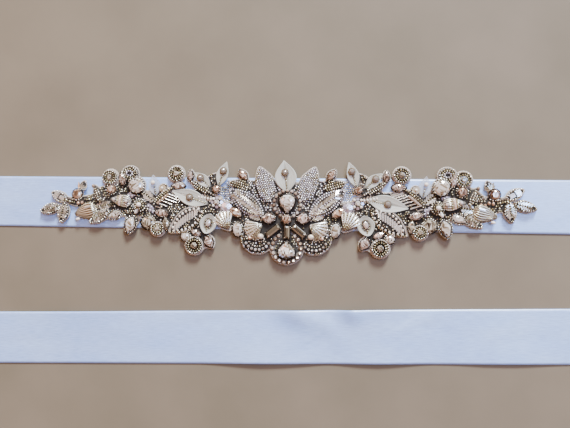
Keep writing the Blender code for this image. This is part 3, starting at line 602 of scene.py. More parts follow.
def is_free(place, radius):
    column, row = int(place.x // CELL), int(place.y // CELL)
    near = [spots.get((column + i, row + j), ()) for i in (-1, 0, 1) for j in (-1, 0, 1)]
    return all(
        (place.x - x) ** 2 + (place.y - y) ** 2 >= (radius + taken) ** 2
        for cell in near
        for x, y, taken in cell
    )


def mark_patch(patch, scale=1.0):
    """Keeps the beads of the filling out of a piece's outline."""
    steps = max(2, round(patch.length / 1.5))
    for k in range(steps + 1):
        x = patch.length * (k / steps - 0.5) * scale
        half = patch.half(x) * scale
        rows = max(1, round(half / 0.75))
        for j in range(-rows, rows + 1):
            mark(patch.at(x, half * j / rows), 0.7)


def put(kind, place, direction=(1, 0, 0), size=SEED_SHAPE, shade=None, keep=None):
    """One bead with its middle at a place in space and its thread hole along a direction."""
    place = Vector(place)
    turn = Vector(direction).to_track_quat("X", "Z").to_euler()
    tone = chance.random() if shade is None else shade
    beads.setdefault(kind, []).append(Bead(place, Vector(turn), Vector(size), tone))
    mark(place, min(size[1], size[0]) / 2 if keep is None else keep)


def sew(kind, place, direction=(1, 0), size=SEED, shade=None, sunk=0.1):
    """One round bead on the felt."""
    top = felt_top(place)
    if top is not None:
        lie = Vector((direction[0], direction[1], chance.uniform(-0.15, 0.15)))
        level = top + size * (0.5 - sunk)
        put(kind, (place.x, place.y, level), lie, (size * 0.8, size, size), shade, size / 2)


def put_bar(kind, start, end, thick=BUGLE, lift=0.35, shade=None, loose=False):
    """One bugle on the felt from one place to the other. A loose one may stand out past the edge."""
    low, high = felt_top(start), felt_top(end)
    if loose:
        low, high = low or PLATE_TOP, high or PLATE_TOP
    if low is None or high is None:
        return
    rise = max(0.0, (felt_top((start + end) / 2) or 0) - (low + high) / 2)
    a = Vector((start.x, start.y, low + thick * lift + rise))
    b = Vector((end.x, end.y, high + thick * lift + rise))
    put(kind, (a + b) / 2, b - a, ((b - a).length, thick, thick), shade)
    steps = max(1, round((end - start).length / 1.2))
    for k in range(steps + 1):
        mark(start.lerp(end, k / steps), thick / 2)


def walk(path, spacing):
    """Evenly spaced (place, direction) pairs along a path."""
    total = sum((b - a).length for a, b in zip(path, path[1:]))
    count = max(1, round(total / spacing))
    step, ahead, made = total / count, 0.5 * total / count, []
    for a, b in zip(path, path[1:]):
        span = (b - a).length
        while ahead <= span and span > 0:
            made.append((a.lerp(b, ahead / span), (b - a) / span))
            ahead += step
        ahead -= span
    return made


def row_of(kind, path, spacing=CLOSE, size=SEED, shade=None):
    """A row of beads on the felt."""
    for place, direction in walk(path, spacing):
        sew(kind, place, direction, size, shade)


def strung(kind, path, level, spacing=LOOSE, size=SEED_SHAPE, shade=None):
    """A row of beads at a height of its own."""
    for place, direction in walk(path, spacing):
        put(kind, (*place, level), (*direction, 0), size, shade)


def herringbone(patch, kind, reach, pitch, lean, start, end, inset):
    """Bars that lean forward from both sides of the midrib."""
    x = patch.length * start
    while x < patch.length * end:
        for side in (-1, 1):
            room = max(0.0, patch.half(x + lean * reach * 0.5) - inset)
            long = min(reach, room / max(0.3, math.sin(math.acos(lean))))
            if long > 1.2:
                root = patch.at(x, 0.55 * side)
                away = patch.ahead * lean + patch.over * side * math.sqrt(1 - lean**2)
                put_bar(kind, root, root + away * long)
        x += pitch


# Templates, one unit across, with few faces because each is repeated hundreds of times

def template(name, mesh, *materials, flat=False):
    for face in mesh.faces:
        face.smooth = not flat
    bmesh.ops.recalc_face_normals(mesh, faces=mesh.faces[:])
    return kept(name, mesh, materials)


def round_bead(name, material, around=8, up=4):
    mesh = bmesh.new()
    bmesh.ops.create_uvsphere(mesh, u_segments=around, v_segments=up, radius=0.5)
    return template(name, mesh, material)


def bugle_bead(name, material):
    mesh = bmesh.new()
    turn = Matrix.Rotation(math.pi / 2, 4, "Y")
    bmesh.ops.create_cone(mesh, cap_ends=True, segments=6, radius1=0.5, radius2=0.5, depth=1.0, matrix=turn)
    return template(name, mesh, material, flat=True)


def cup_sequin(name, material):
    mesh = bmesh.new()
    rim = bmesh.ops.create_circle(mesh, cap_ends=True, segments=10, radius=0.5)["verts"]
    bmesh.ops.inset_region(mesh, faces=[rim[0].link_faces[0]], thickness=0.28, depth=-0.14)
    bmesh.ops.solidify(mesh, geom=mesh.faces[:], thickness=0.04)
    return template(name, mesh, material, flat=True)


def stacked(mesh, edge, count, levels, material=0):
    """A closed form of outlines one above the other. A level is (scale, height, half steps turned)."""
    old = set(mesh.faces)
    start = bmesh.ops.create_circle(mesh, cap_ends=True, segments=count, radius=1.0)["verts"]
    face = start[0].link_faces[0]
    step = {vert: k for k, vert in enumerate(face.verts)}
    for number, (scale, height, twist) in enumerate(levels):
        if number:
            raised = bmesh.ops.extrude_face_region(mesh, geom=[face])["geom"]
            face = next(item for item in raised if isinstance(item, bmesh.types.BMFace))
            corners = set(face.verts)
            links = [(vert, link.other_vert(vert)) for vert in corners for link in vert.link_edges]
            step = {vert: step[below] for vert, below in links if below in step and below not in corners}
        for vert, k in step.items():
            place = edge(math.tau * (k + twist / 2) / count, scale)
            vert.co = (place.x, place.y, height)
    for made in mesh.faces:
        if made not in old:
            made.material_index = material


# Cut stones. A level is (share of the width, share of the height, half steps turned).

BRILLIANT = [
    (0.86, 0.05, 0), (1.0, 0.34, 0), (0.98, 0.44, 0),
    (0.76, 0.84, 1), (0.50, 1.0, 0), (0.24, 0.93, 1),
]
STEPPED = [(0.86, 0.05, 0), (0.96, 0.40, 0), (0.80, 0.74, 0), (0.36, 1.0, 0), (0.26, 0.94, 0)]
# Stepped facets take these tones: painted reflections, dark to bright.
STEP_TONES = (0.05, 0.3, 0.55, 1.0)
CUP = [(0.96, 0.0, 0), (1.12, 0.08, 0), (1.15, 0.40, 0), (1.04, 0.48, 0)]
SMALL_CUT = [(0.7, 0.2, 0), (0.84, 0.45, 0), (0.62, 0.68, 1), (0.34, 0.8, 0)]
SMALL_CUP = [(0.8, 0.0, 0), (0.98, 0.15, 0), (0.98, 0.42, 0), (0.8, 0.46, 0)]
CUSHION = [(0.9, 0.0, 0), (0.98, 0.3, 0), (0.98, 1.1, 0), (0.88, 1.5, 0), (0.5, 1.5, 0)]


def scaled(levels, grow, height=1.0):
    return [(scale * grow, share * height, twist) for scale, share, twist in levels]


def claw_stone(name, material, cup=CUPS, grow=1.0):
    """A small round stone with its facets, in a cup with a low rim."""
    mesh = bmesh.new()
    around = Patch(Motif("", "oval", 0, 0, 0, 1, 1, 1), 0).edge
    stacked(mesh, around, 8, SMALL_CUP, 1)
    stacked(mesh, around, 8, scaled(SMALL_CUT, grow), 0)
    return template(name, mesh, material, cup, flat=True)


def cut_stone(mesh, patch, count, levels, height, grow=1.0):
    """A faceted stone in its cup, in the patch's own place."""
    stacked(mesh, patch.edge, count, scaled(levels, grow, height), 0)
    stacked(mesh, patch.edge, count, scaled(CUP, grow, height), 1)
    if patch.shape != "box":
        facets = [face for face in mesh.faces if face.material_index == 0]
        bmesh.ops.triangulate(mesh, faces=facets, quad_method="BEAUTY", ngon_method="BEAUTY")


# Random tones, facet by facet: painted reflections on the stones.
def facet_reflection_tones(mesh, tones=None):
    tone = mesh.faces.layers.float.get("facet") or mesh.faces.layers.float.new("facet")
    for face in mesh.faces:
        face[tone] = chance.choice(tones) if tones else chance.random()


def stone_piece(name, patch, material, base, height, count=10, levels=BRILLIANT, grow=1.0, claws=6):
    """A stone in its cup, held by claws that lean in over its rim."""
    mesh = bmesh.new()
    cut_stone(mesh, patch, count, levels, height, grow)
    facet_reflection_tones(mesh, STEP_TONES if levels is STEPPED else None)
    made = finished(name, mesh, [material, CUPS], patch.stand(base), flat=(0, 1))
    for k in range(claws):
        local = patch.edge(math.tau * (k + 0.5) / claws, 1.04 * grow)
        inward = Vector((*(patch.at(0, 0) - patch.at(local.x, local.y * (patch.side or 1))), 0)).normalized()
        spot = patch.centre - inward.xy * local.length
        lean = inward * 0.8 + Vector((0, 0, 0.6))
        put("claws", (spot.x, spot.y, base + height * 0.58), lean, CLAW_SHAPE)
    mark_patch(patch, 1.1 * grow)
    return made


def stitched(name, pattern, kind):
    """One mesh that holds a copy of the template for each bead of a kind."""
    points = bmesh.new()
    turn = points.verts.layers.float_vector.new("turn")
    size = points.verts.layers.float_vector.new("size")
    shade = points.verts.layers.float.new("shade")
    for bead in beads.get(kind, []):
        vert = points.verts.new(bead.place * MM)
        vert[turn] = bead.turn
        vert[size] = bead.size * MM
        vert[shade] = bead.shade
    holder = kept(name + "_places", points)

    tree = bpy.data.node_groups.new(name, "GeometryNodeTree")
    for way in ("INPUT", "OUTPUT"):
        tree.interface.new_socket("Geometry", in_out=way, socket_type="NodeSocketGeometry")
    given = add(tree, "NodeGroupInput")
    bead = add(tree, "GeometryNodeObjectInfo", Object=pattern).outputs["Geometry"]
    turned = add(tree, "GeometryNodeInputNamedAttribute", data_type="FLOAT_VECTOR", Name="turn")
    sized = add(tree, "GeometryNodeInputNamedAttribute", data_type="FLOAT_VECTOR", Name="size")
    spin = add(tree, "FunctionNodeEulerToRotation", Euler=turned)
    copies = add(
        tree, "GeometryNodeInstanceOnPoints", Points=given, Instance=bead, Rotation=spin, Scale=sized
    )
    add(tree, "NodeGroupOutput", Geometry=add(tree, "GeometryNodeRealizeInstances", Geometry=copies))
    holder.modifiers.new("copies", "NODES").node_group = tree

    ready = holder.evaluated_get(bpy.context.evaluated_depsgraph_get())
    mesh = bpy.data.meshes.new_from_object(ready)
    for spare in ("turn", "size"):
        if spare in mesh.attributes:
            mesh.attributes.remove(mesh.attributes[spare])
    made = placed(name, mesh)
    for used in (holder, pattern):
        bpy.data.objects.remove(used, do_unlink=True)
    bpy.data.node_groups.remove(tree)
    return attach(made, "root")


# Ways to sew, each listed under its own name for the rows of motifs and pieces

WORK = {}


def sewn(way):
    WORK[way.__name__] = way
    return way


LOW_STONES = {
    # work: its stone, and how many claws hold it
    "amber_stone": (ORANGE, 5),
    "mauve_stone": (CHAMPAGNE, 4),
    "brown_stone": (SMOKE, 6),
    "pink_stone": (CHAMPAGNE, 4),
    "cream_stone": (CRYSTAL, 5),
    "peach_stone": (ORANGE, 4),
}


def low_stone(patch, work, number):
    """A stone over its raised bed in the felt."""
    material, claws = LOW_STONES[work]
    name = f"{work}_{number}{SUFFIXES[patch.side]}"
    stone_piece(name, patch, material, PLATE_TOP - 0.2, patch.height + 0.9, grow=1.14, claws=claws)
    if patch.shape == "oval":
        row_of("silver", patch.ring(-0.9), LOOSE)


@sewn
def sprig_leaf(patch):
    """Seed beads round the edge, bugles slanting from a row of gold along the midrib."""
    row_of("silver", patch.ring(0.35))
    row_of("gold", patch.rib(-0.36, 0.28), SEED, SEED * 0.85)
    herringbone(patch, "bugle", 3.0, 1.7, 0.7, -0.36, 0.24, 1.4)


@sewn
def white_leaf(patch):
    """The brightest of the end leaves: rows of silver bugles along it."""
    row_of("silver", patch.ring(0.3), shade=0.8)
    for lane in (-0.7, -0.35, 0.0, 0.35, 0.7):
        for part in (-0.3, 0.02):
            x = patch.length * part
            half = patch.half(x) - 0.6
            tone = 0.6 + 0.4 * chance.random()
            put_bar("bugle", patch.at(x, half * lane), patch.at(x + 3.7, half * lane * 0.8), 0.9, shade=tone)


@sewn
def bugle_tuft(patch):
    """Short bugles that radiate from a dark root."""
    root = patch.at(-patch.length * 0.42, 0)
    for k in range(7):
        angle = math.radians(-54 + 18 * k)
        away = patch.ahead * math.cos(angle) + patch.over * math.sin(angle)
        reach = 6.0 if k % 2 else 4.6
        tone = chance.uniform(0.1, 0.6)
        put_bar("bugle", root + away * 1.4, root + away * reach, thick=1.1, shade=tone, loose=True)
    sew("brown", patch.at(-patch.length * 0.46, 0), size=2.2)


@sewn
def bead_stem(patch):
    """Brown beads along the stem, with round amber and pink ones at its inner end."""
    for k in range(4):
        sew("amber", patch.at(-10.5 + 2.7 * k, 0.5 * (-1) ** k), size=2.6, shade=0.35 + 0.2 * k)
    row_of("brown", patch.line((0, 1.2), (9, 0.8)), SEED)
    row_of("gold", patch.line((0, -0.8), (10, -0.6)), SEED)


@sewn
def bead_column(patch):
    """Short rows of silver seeds, topped by a brown cup bead."""
    x = -patch.length * 0.42
    while x < patch.length * 0.3:
        half = max(0.9, patch.half(x) - 0.6)
        for lane in (-1, 0, 1):
            sew("silver", patch.at(x, half * lane * 0.8), patch.over)
        x += SEED
    sew("brown", patch.at(patch.length * 0.42, 0), size=3.2, shade=0.9)


@sewn
def ringed_disc(patch):
    """Rings of seed beads, one inside the other."""
    for inset, kind in ((0.7, "silver"), (2.3, "gold"), (3.8, "lilac")):
        row_of(kind, patch.ring(inset))


@sewn
def pearl_cup(patch):
    """A large pearl in a ring cup, with a white tear-drop bead beside it."""
    top = felt_top(patch.centre)
    row_of("gold", patch.ring(1.9))
    row_of("silver", patch.ring(0.2), LOOSE)
    put("pearl", (*patch.centre, top + 1.7), (0, 0, 1), (3.6, 3.6, 3.6), 0.9, 1.8)
    drop = patch.at(2.6, -4.4)
    level = felt_top(drop)
    if level is not None:
        put("pearl", (*drop, level + 1.3), (0.5 * patch.side, -1, 0.1), (4.6, 2.8, 2.8), 1.0, 1.6)


@sewn
def gold_cup(patch):
    """A cupped gold sequin held by a small pearl."""
    top = felt_top(patch.centre)
    put("sequin_gold", (*patch.centre, top + 0.9), (1, 0, 0), (5.6, 5.6, 5.6), 0.5, 2.6)
    put("pearl", (*patch.centre, top + 1.5), (1, 0, 0), (2.0, 2.0, 2.0), 0.8)


@sewn
def bar_leaf(patch):
    """A long brown bar beside rows of gold seeds."""
    put_bar("bar", patch.at(-7.5, 1.3), patch.at(3.5, 1.3), thick=1.9, shade=0.8)
    row_of("gold", patch.line((-9, -0.9), (8.5, -0.6)))
    row_of("silver", patch.line((-8, -2.5), (6.5, -2.1)))


@sewn
def great_leaf(patch):
    """Long thin bugles along the upper edge, cream pearls under them, then slanting silver bugles, and
    pearls again above the scalloped lower edge."""
    for x in patch.steps(-0.42, 9, 3.1):
        start = patch.at(x, patch.half(x) - 1.0)
        put_bar("bugle", start, patch.at(x + 4.4, patch.half(x + 4.4) - 0.7), thick=1.1, shade=0.8)
    for x in patch.steps(-0.38, 9, 2.9):
        sew("pearl", patch.at(x, max(0.4, patch.half(x) - 3.1)), size=PEARL * 0.86)
    for x in patch.steps(-0.36, 11, 2.0):
        room = patch.half(x)
        start = patch.at(x, room * 0.36)
        put_bar("bugle", start, start + patch.ahead * 3.4 - patch.over * min(4.6, room * 0.75), shade=0.9)
    for x in patch.steps(-0.40, 10, 2.8):
        sew("pearl", patch.at(x, -max(0.4, patch.half(x) - 1.5)), size=PEARL * 0.8)
    row_of("gold", patch.ring(0.3, math.pi, math.pi), SEED)


@sewn
def gold_rows(patch):
    """Close rows of antique gold seeds along the leaf."""
    rows = max(1, int(patch.width / 2 / SEED))
    for j in range(-rows, rows + 1):
        x = -patch.length * 0.46
        while x < patch.length * 0.46:
            y = j * SEED
            if abs(y) < patch.half(x):
                kind = "silver" if chance.random() < 0.36 else "gold"
                sew(kind, patch.at(x + 0.4 * (j % 2), y), patch.ahead, SEED * 0.95, chance.uniform(0.3, 1.0))
            x += SEED * 0.98


@sewn
def lilac_rosette(patch):
    """Overlapping lilac sequins, each held by a seed bead."""
    top = felt_top(patch.centre)
    for k in range(6):
        out = toward(math.tau * k / 6 + 0.3)
        put("sequin", (*(patch.centre + out * 2.4), top + 0.55), (*out, -0.35), (3.6, 3.6, 3.6), None, 1.6)
    put("lilac", (*patch.centre, top + 1.2), (1, 0, 0), (1.9, 2.3, 2.3), 0.9)


@sewn
def pale_wing(patch):
    """Tiny lilac and silver seeds in rows along the wing, edged with a darker gold row."""
    size, lane = 1.5, 1.45
    rows = int(patch.width / 2 / lane)
    for j in range(-rows, rows + 1):
        x = -patch.length * 0.48
        while x < patch.length * 0.48:
            y = j * lane
            if abs(y) < patch.half(x) - 0.2:
                kind = "lilac" if chance.random() < 0.68 else "silver"
                place = patch.at(x + 0.7 * (j % 2), y)
                if is_free(place, 0.55):
                    sew(kind, place, patch.ahead, size, chance.uniform(0.35, 1.0))
            x += size
    row_of("gold", [patch.at(x, -patch.half(x) + 0.8) for x in (2, 5, 8, 10.5)])


@sewn
def silver_wing(patch):
    """Silver-white bugles in a herringbone, with lilac seeds round the edge."""
    row_of("lilac", patch.ring(0.5), LOOSE)
    herringbone(patch, "bugle", 3.4, 1.5, 0.72, -0.44, 0.34, 1.4)
    row_of("lilac", patch.rib(-0.44, 0.38), SEED * 1.1)
    for side in (-1, 1):
        lane = [patch.at(x, side * (patch.half(x) - 2.4)) for x in (-9, -5, -1, 3, 7)]
        for place, direction in walk(lane, SEED * 1.1):
            kind = "silver" if chance.random() < 0.5 else "lilac"
            sew(kind, place, direction, SEED, chance.uniform(0.3, 1.0))


@sewn
def scroll_lobe(patch):
    """An arc of rhinestones along the lower edge, with seeds inside it."""
    start, sweep = (-165, 150) if patch.side > 0 else (-15, -150)
    arc = (math.radians(start), math.radians(sweep))
    for place, direction in walk(patch.ring(2.7, *arc), 2.9):
        top = felt_top(place)
        if top is not None and is_free(place, 0.9):
            put("small_stone", (*place, top - 0.2), (*direction, 0), (2.7, 2.7, 2.7), None, 1.3)
    row_of("silver", patch.ring(5.2, *arc))


@sewn
def bugle_leaf(patch):
    """Long thin bugles that slant across the leaf, with pearls and gold seeds between them."""
    for k, x in enumerate(patch.steps(-0.42, 9, 2.6)):
        room = patch.half(x)
        start, end = patch.at(x, -room * 0.85), patch.at(x + room * 1.3, room * 0.75)
        if (end - start).length > 3:
            put_bar("bugle", start, end, thick=1.15, shade=0.55 + 0.4 * (k % 2))
    for k, x in enumerate(patch.steps(-0.36, 8, 2.6)):
        place = patch.at(x, -patch.half(x) * 0.25)
        if is_free(place, 0.5):
            sew("pearl" if k % 2 else "gold", place, size=1.8)


@sewn
def sequin_spray(patch):
    """A few lilac sequins that overlap, each held by a seed."""
    for k in range(4):
        way = (-1) ** k
        place = patch.at(patch.length * (k - 1.5) / 4.5, 0.9 * way)
        top = felt_top(place)
        if top is not None:
            put("sequin", (*place, top + 0.7), (0.5, 0.6 * way, -0.25), (3.5, 3.5, 3.5), None, 1.5)
            put("lilac", (*place, top + 1.2), (1, 0, 0), (1.2, 1.5, 1.5), 0.8)


@sewn
def pearl_spray(patch):
    """A row of pearls with silver bugles on both sides."""
    row_of("pearl", patch.rib(-0.4, 0.4), 2.3, 2.1, 0.7)
    herringbone(patch, "bugle", 3.6, 2.1, 0.6, -0.36, 0.3, 0.8)


@sewn
def silver_spray(patch):
    """Silver bugles that lean from a row of seeds."""
    herringbone(patch, "bugle", 4.2, 1.8, 0.65, -0.42, 0.38, 0.6)
    row_of("gold", patch.rib(-0.45, 0.45), SEED, 1.5)


# What stands on the plate

def base_of(piece):
    return PLATE_TOP + piece.seat + SEAM


STONES = {
    # work: its stone, corners, cut and claws
    "champagne_stone": (CHAMPAGNE, 10, BRILLIANT, 6),
    "clear_stone": (CRYSTAL, 10, BRILLIANT, 6),
    "orange_stone": (ORANGE, 10, BRILLIANT, 8),
    "bar_stone": (SMOKE, 8, STEPPED, 4),
    "great_stone": (CRYSTAL, 16, BRILLIANT, 7),
}


def set_stone(name, piece, patch):
    """A stone of the table above. The clear ones have a row of seeds about them."""
    material, count, levels, claws = STONES[piece.work]
    base = base_of(piece)
    made = stone_piece(name, patch, material, base, piece.height, count, levels, claws=claws, grow=0.96)
    if piece.work == "clear_stone":
        strung("silver", patch.ring(-0.5), base + 0.7, size=(SEED * 0.75, SEED * 0.9, SEED * 0.9))
    return made


@sewn
def pale_shell(name, piece, patch):
    """A wide faceted stone in cream glass, with an arc of seeds behind it."""
    base = base_of(piece)
    made = stone_piece(name, patch, CRYSTAL, base, piece.height, count=14, claws=8, grow=0.93)
    strung("silver", patch.ring(0.2, math.radians(-40), math.radians(200)), base + 1.5)
    return made


@sewn
def pale_flower(name, piece, patch):
    """A cream rosette: a ring of pearls and lilac sequins round a clear stone."""
    base = base_of(piece)
    middle = Patch(piece._replace(length=4.4, width=4.4), patch.side)
    made = stone_piece(name, middle, CRYSTAL, base, piece.height, count=8, claws=0)
    for k in range(8):
        out = toward(math.tau * k / 8)
        place = patch.centre + out * 3.5
        put("pearl" if k % 2 else "sequin", (*place, base + 1.0), (*out, -0.3), (2.3, 2.3, 2.3))
    mark_patch(patch)
    return made


@sewn
def flower_disc(name, piece, patch):
    """A round felt cushion, whipped at its edge, with two rings of beads about a stone in a dark cup."""
    base = base_of(piece)
    mesh = bmesh.new()
    inward = mesh.verts.layers.float.new("inward")
    stacked(mesh, patch.edge, 28, CUSHION, 2)
    # The cushion's top takes the felt's darkest tone, painted shadow between its beads; its sides the pale
    # edge.
    for vert in mesh.verts:
        vert[inward] = 1.0 if vert.co.z > 1.4 else 0.0
    middle = Patch(piece._replace(length=5.0, width=5.0), patch.side)
    cut_stone(mesh, middle, 10, BRILLIANT, piece.height)
    facet_reflection_tones(mesh)
    made = finished(name, mesh, [SMOKE, CLAWS, FELT], patch.stand(base), flat=(0, 1))
    for inset, kind, height, size in ((1.0, "silver", 2.0, 1.7), (2.6, "gold", 1.9, 1.6)):
        strung(kind, patch.ring(inset), base + height, size * 1.04, (size * 0.8, size, size))
    cord_along([Vector((*place, base + 0.8)) for place in patch.ring(0.45)[:-1]])
    mark_patch(patch, 1.05)
    return made


def dome_rise(patch, x, w, height):
    """Height of a domed form at a distance along it and a share across it."""
    share = x / patch.length + 0.5
    ends = min(1.0, math.sin(math.pi * min(1.0, max(0.0, share))) * 1.9) ** 0.6
    return height * (0.25 + 0.75 * math.sqrt(max(0.0, 1 - w * w * 0.92)) * ends)


def rib_wave(ribs, w):
    """0 in a groove and 1 on a rib, with w from -1 to 1 across them."""
    return abs(math.sin(math.pi * ribs * (w + 1) / 2))


def ribbed_dome(name, piece, patch, ribs, material):
    """Ribs that run from the tip and swell over the round end."""
    mesh = bmesh.new()
    bmesh.ops.create_grid(mesh, x_segments=26, y_segments=ribs * 6, size=1.0)
    fold = mesh.verts.layers.float.new("fold")
    for vert in mesh.verts:
        w = vert.co.y
        x = piece.length / 2 * vert.co.x * 0.985
        wave = rib_wave(ribs, w)
        # Dark in the grooves: painted shade, with the gaps between the bugles.
        vert[fold] = min(1.0, (1 - wave) ** 0.9 * 1.1)
        high = dome_rise(patch, x, w, piece.height - 0.5)
        vert.co = (x, patch.half(x) * w, high + 0.38 * wave * smooth(0, 0.2, 1 - abs(w)))
    made = finished(name, mesh, [material], patch.stand(base_of(piece)), closed=False)
    return walled(made, BEAD_SHELL, -1.0)


def on_dome(piece, patch, x, y, above):
    """A place over a dome."""
    w = max(-0.98, min(0.98, y / max(0.3, patch.half(x))))
    rise = dome_rise(patch, x, w, piece.height - 0.5)
    return Vector((*patch.at(x, y), base_of(piece) + rise + above))


@sewn
def bronze_bud(name, piece, patch):
    """Bronze ribs with seeds round the foot, a pearl at the tip and one bright bugle across, a painted
    highlight on the dome.
    """
    made = ribbed_dome(name, piece, patch, 7, BRONZE_RIBS)
    strung("gold", patch.ring(0.1), base_of(piece) + 0.65)
    mark_patch(patch, 1.05)
    hang = patch.at(piece.length * 0.40, -piece.width * 0.36)
    put("pearl", (*hang, base_of(piece) + 1.2), (*patch.ahead, 0), (3.6, 2.2, 2.2), 1.0)
    # The bugle at its brightest tone stands for the dome's highlight: a painted highlight.
    put("bugle", on_dome(piece, patch, -3.2, 2.6, 0.55), (*patch.ahead, -0.1), (4.6, 1.4, 1.2), 1.0)
    return made


@sewn
def banded_bud(name, piece, patch):
    """Ribs with a flat pink-beige band across them, clear stones at both ends and rows of gold."""
    made = ribbed_dome(name, piece, patch, 6, CREAM_RIBS)
    mark_patch(patch, 1.05)
    gold, band = (1.5, 1.5, 1.5), (1.9, 2.4, 1.5)
    for k in range(7):
        w = -0.75 + 0.25 * k
        for x, kind, size in ((-1.6, "gold", gold), (1.9, "gold", gold), (0.2, "band", band)):
            put(kind, on_dome(piece, patch, x, patch.half(x) * w, 0.5), (*patch.over, 0), size, 0.6)
    for x in (-5.0, 4.6):
        put("small_stone", on_dome(piece, patch, x, 0, -0.2), (1, 0, 0), (3.4, 3.4, 2.6), 0.9)
    return made


Fan = namedtuple("Fan", "x y facing spread reach white_end")


def fan_point(piece, fan, share, w):
    """A local place on a ribbed fan, a share of the way out from its root, with w from -1 to 1 across it."""
    wave = rib_wave(FAN_RIBS, w)
    angle = math.radians(fan.facing + fan.spread * w)
    long = fan.reach * share * (1 - 0.14 * w * w) * (1 + 0.05 * wave * share)
    crown = math.sin(math.pi * (0.15 + 0.8 * share)) * math.sqrt(1 - 0.85 * w * w)
    high = (piece.height - 0.9) * (0.2 + 0.8 * crown) + 0.5 * wave * smooth(0, 0.4, share)
    return Vector((fan.x + math.cos(angle) * long, fan.y + math.sin(angle) * long, high))


def fan_shell(name, piece, patch, fan):
    """Ribs that fan out from a root, white at their ends or on one side, which is a painted highlight, and
    gold elsewhere, dark in the grooves as painted shade, with a row of gold seeds in each groove."""
    base = base_of(piece)
    side = patch.side or 1
    mesh = bmesh.new()
    bmesh.ops.create_grid(mesh, x_segments=18, y_segments=FAN_RIBS * 6, size=1.0)
    fold = mesh.verts.layers.float.new("fold")
    for vert in mesh.verts:
        share = 0.08 + 0.46 * (vert.co.x + 1)
        w = vert.co.y * side
        # The white part is a painted highlight, at the ends or on one side.
        white = smooth(0.3, 0.5, share) if fan.white_end else smooth(-0.55, -0.3, w)
        vert[fold] = max((1 - rib_wave(FAN_RIBS, w)) ** 1.3, 0.5 * (1 - white))
        place = fan_point(piece, fan, share, w)
        vert.co = (place.x, place.y * side, place.z)
    made = finished(name, mesh, [CREAM_RIBS], patch.stand(base), closed=False)
    steps = int(fan.reach / 1.5)
    for k in range(1, FAN_RIBS):
        for j in range(2, steps):
            place = fan_point(piece, fan, j / steps, 2 * k / FAN_RIBS - 1)
            spot = (*patch.at(place.x, place.y), base + place.z + 0.35)
            put("gold", spot, (*patch.ahead, 0), (1.0, 1.2, 1.2), 0.2 + 0.4 * (j % 2))
    for j in range(13):
        place = fan_point(piece, fan, 1.0, j / 6 - 1)
        put("silver", (*patch.at(place.x, place.y), base + 0.7), (*patch.over, 0), SEED_SHAPE, 0.7)
    mark_patch(patch)
    return walled(made, BEAD_SHELL, -1.0)


@sewn
def white_fan(name, piece, patch):
    return fan_shell(name, piece, patch, Fan(6.2, 0.0, 180, 42, 13.8, True))


@sewn
def cream_fan(name, piece, patch):
    made = fan_shell(name, piece, patch, Fan(-5.8, -3.2, 46, 44, 13.4, False))
    for x, y, size, kind, tone in ((3.2, -4.0, 4.6, "pearl", 0.15), (6.4, 3.4, 3.0, "amber", 0.8)):
        place = (*patch.at(x, y), base_of(piece) + size * 0.42)
        put(kind, place, (*patch.over, 0), (size, size * 0.9, size * 0.9), tone)
    return made


def petal_rise(share, w):
    """How far a petal is cupped and curled, as a share of its height."""
    return PETAL_CUP * w * w * math.sin(math.pi * share) + PETAL_CURL * smooth(CURL_START, 1.0, share)


def petal_level(piece, x):
    """The height of a petal's cloth along its middle."""
    rise = piece.height - SOLID_CLOTH
    return base_of(piece) + SOLID_CLOTH / 2 + rise * petal_rise(x / piece.length + 0.5, 0.0)


def petal_sheet(name, piece, patch, material, folds, hollow=False):
    """A cupped petal with a fold along its middle and fine veins that fan out from its root, painted darker
    in the fold and near the root as painted shade. A hollow one is round, and painted dark inside its rim as
    painted shade."""
    base = base_of(piece) + SOLID_CLOTH / 2
    rise = piece.height - SOLID_CLOTH
    outline = cup_profile if hollow else petal_profile
    mesh = bmesh.new()
    bmesh.ops.create_grid(mesh, x_segments=34, y_segments=18, size=1.0)
    fold = mesh.verts.layers.float.new("fold")
    for vert in mesh.verts:
        share = 0.006 + 0.988 * (vert.co.x + 1) / 2
        w = vert.co.y
        half = piece.width / 2 * outline(share)
        veins = 0.5 + 0.5 * math.sin(w * folds * math.pi + share * 2.0)
        if hollow:
            out = math.hypot(w * math.sin(math.pi * share), 2 * share - 1)
            # Painted shade inside the cup's rim, with the veins.
            vert[fold] = 1.2 * (1 - smooth(0.45, 0.7, out)) + 0.25 * veins
            crease, high = 0.0, rise * out**3
        else:
            crease = math.exp(-((w / 0.16) ** 2)) * math.sin(math.pi * share)
            root = 1 - smooth(0, 0.35, share)
            # Painted shade in the crease and near the root, with the veins.
            vert[fold] = min(1.0, 0.75 * crease + 0.30 * veins * (1 - share) + 0.35 * root)
            high = rise * petal_rise(share, w)
        ripple = 0.24 * veins * (1 - share * 0.6)
        vert.co = (piece.length * (share - 0.5), half * w, high - 0.45 * crease + ripple)
    made = walled(finished(name, mesh, [material], patch.stand(base), closed=False), SILK)
    area = piece.width * piece.length * sum(outline((k + 0.5) / 40) for k in range(40)) / 40
    mark_patch(patch, 0.95)
    return made


@sewn
def silk_petal(name, piece, patch):
    """White silk with a stone in a ring cup and a chain of gold seeds down to the root."""
    made = petal_sheet(name, piece, patch, SILK_WHITE, 7)
    x = piece.length * (0.0 if piece.name == "petal_long" else 0.12)
    high = petal_level(piece, x)
    put("petal_stone", (*patch.at(x, 0), high + 0.1), (1, 0, 0), (5.8, 5.8, 3.2), 0.5)
    chain = patch.line((x - 2.6, 0), (-piece.length * 0.44, 0))
    strung("gold", chain, high + 0.3, 1.45, (1.1, 1.4, 1.4))
    return made


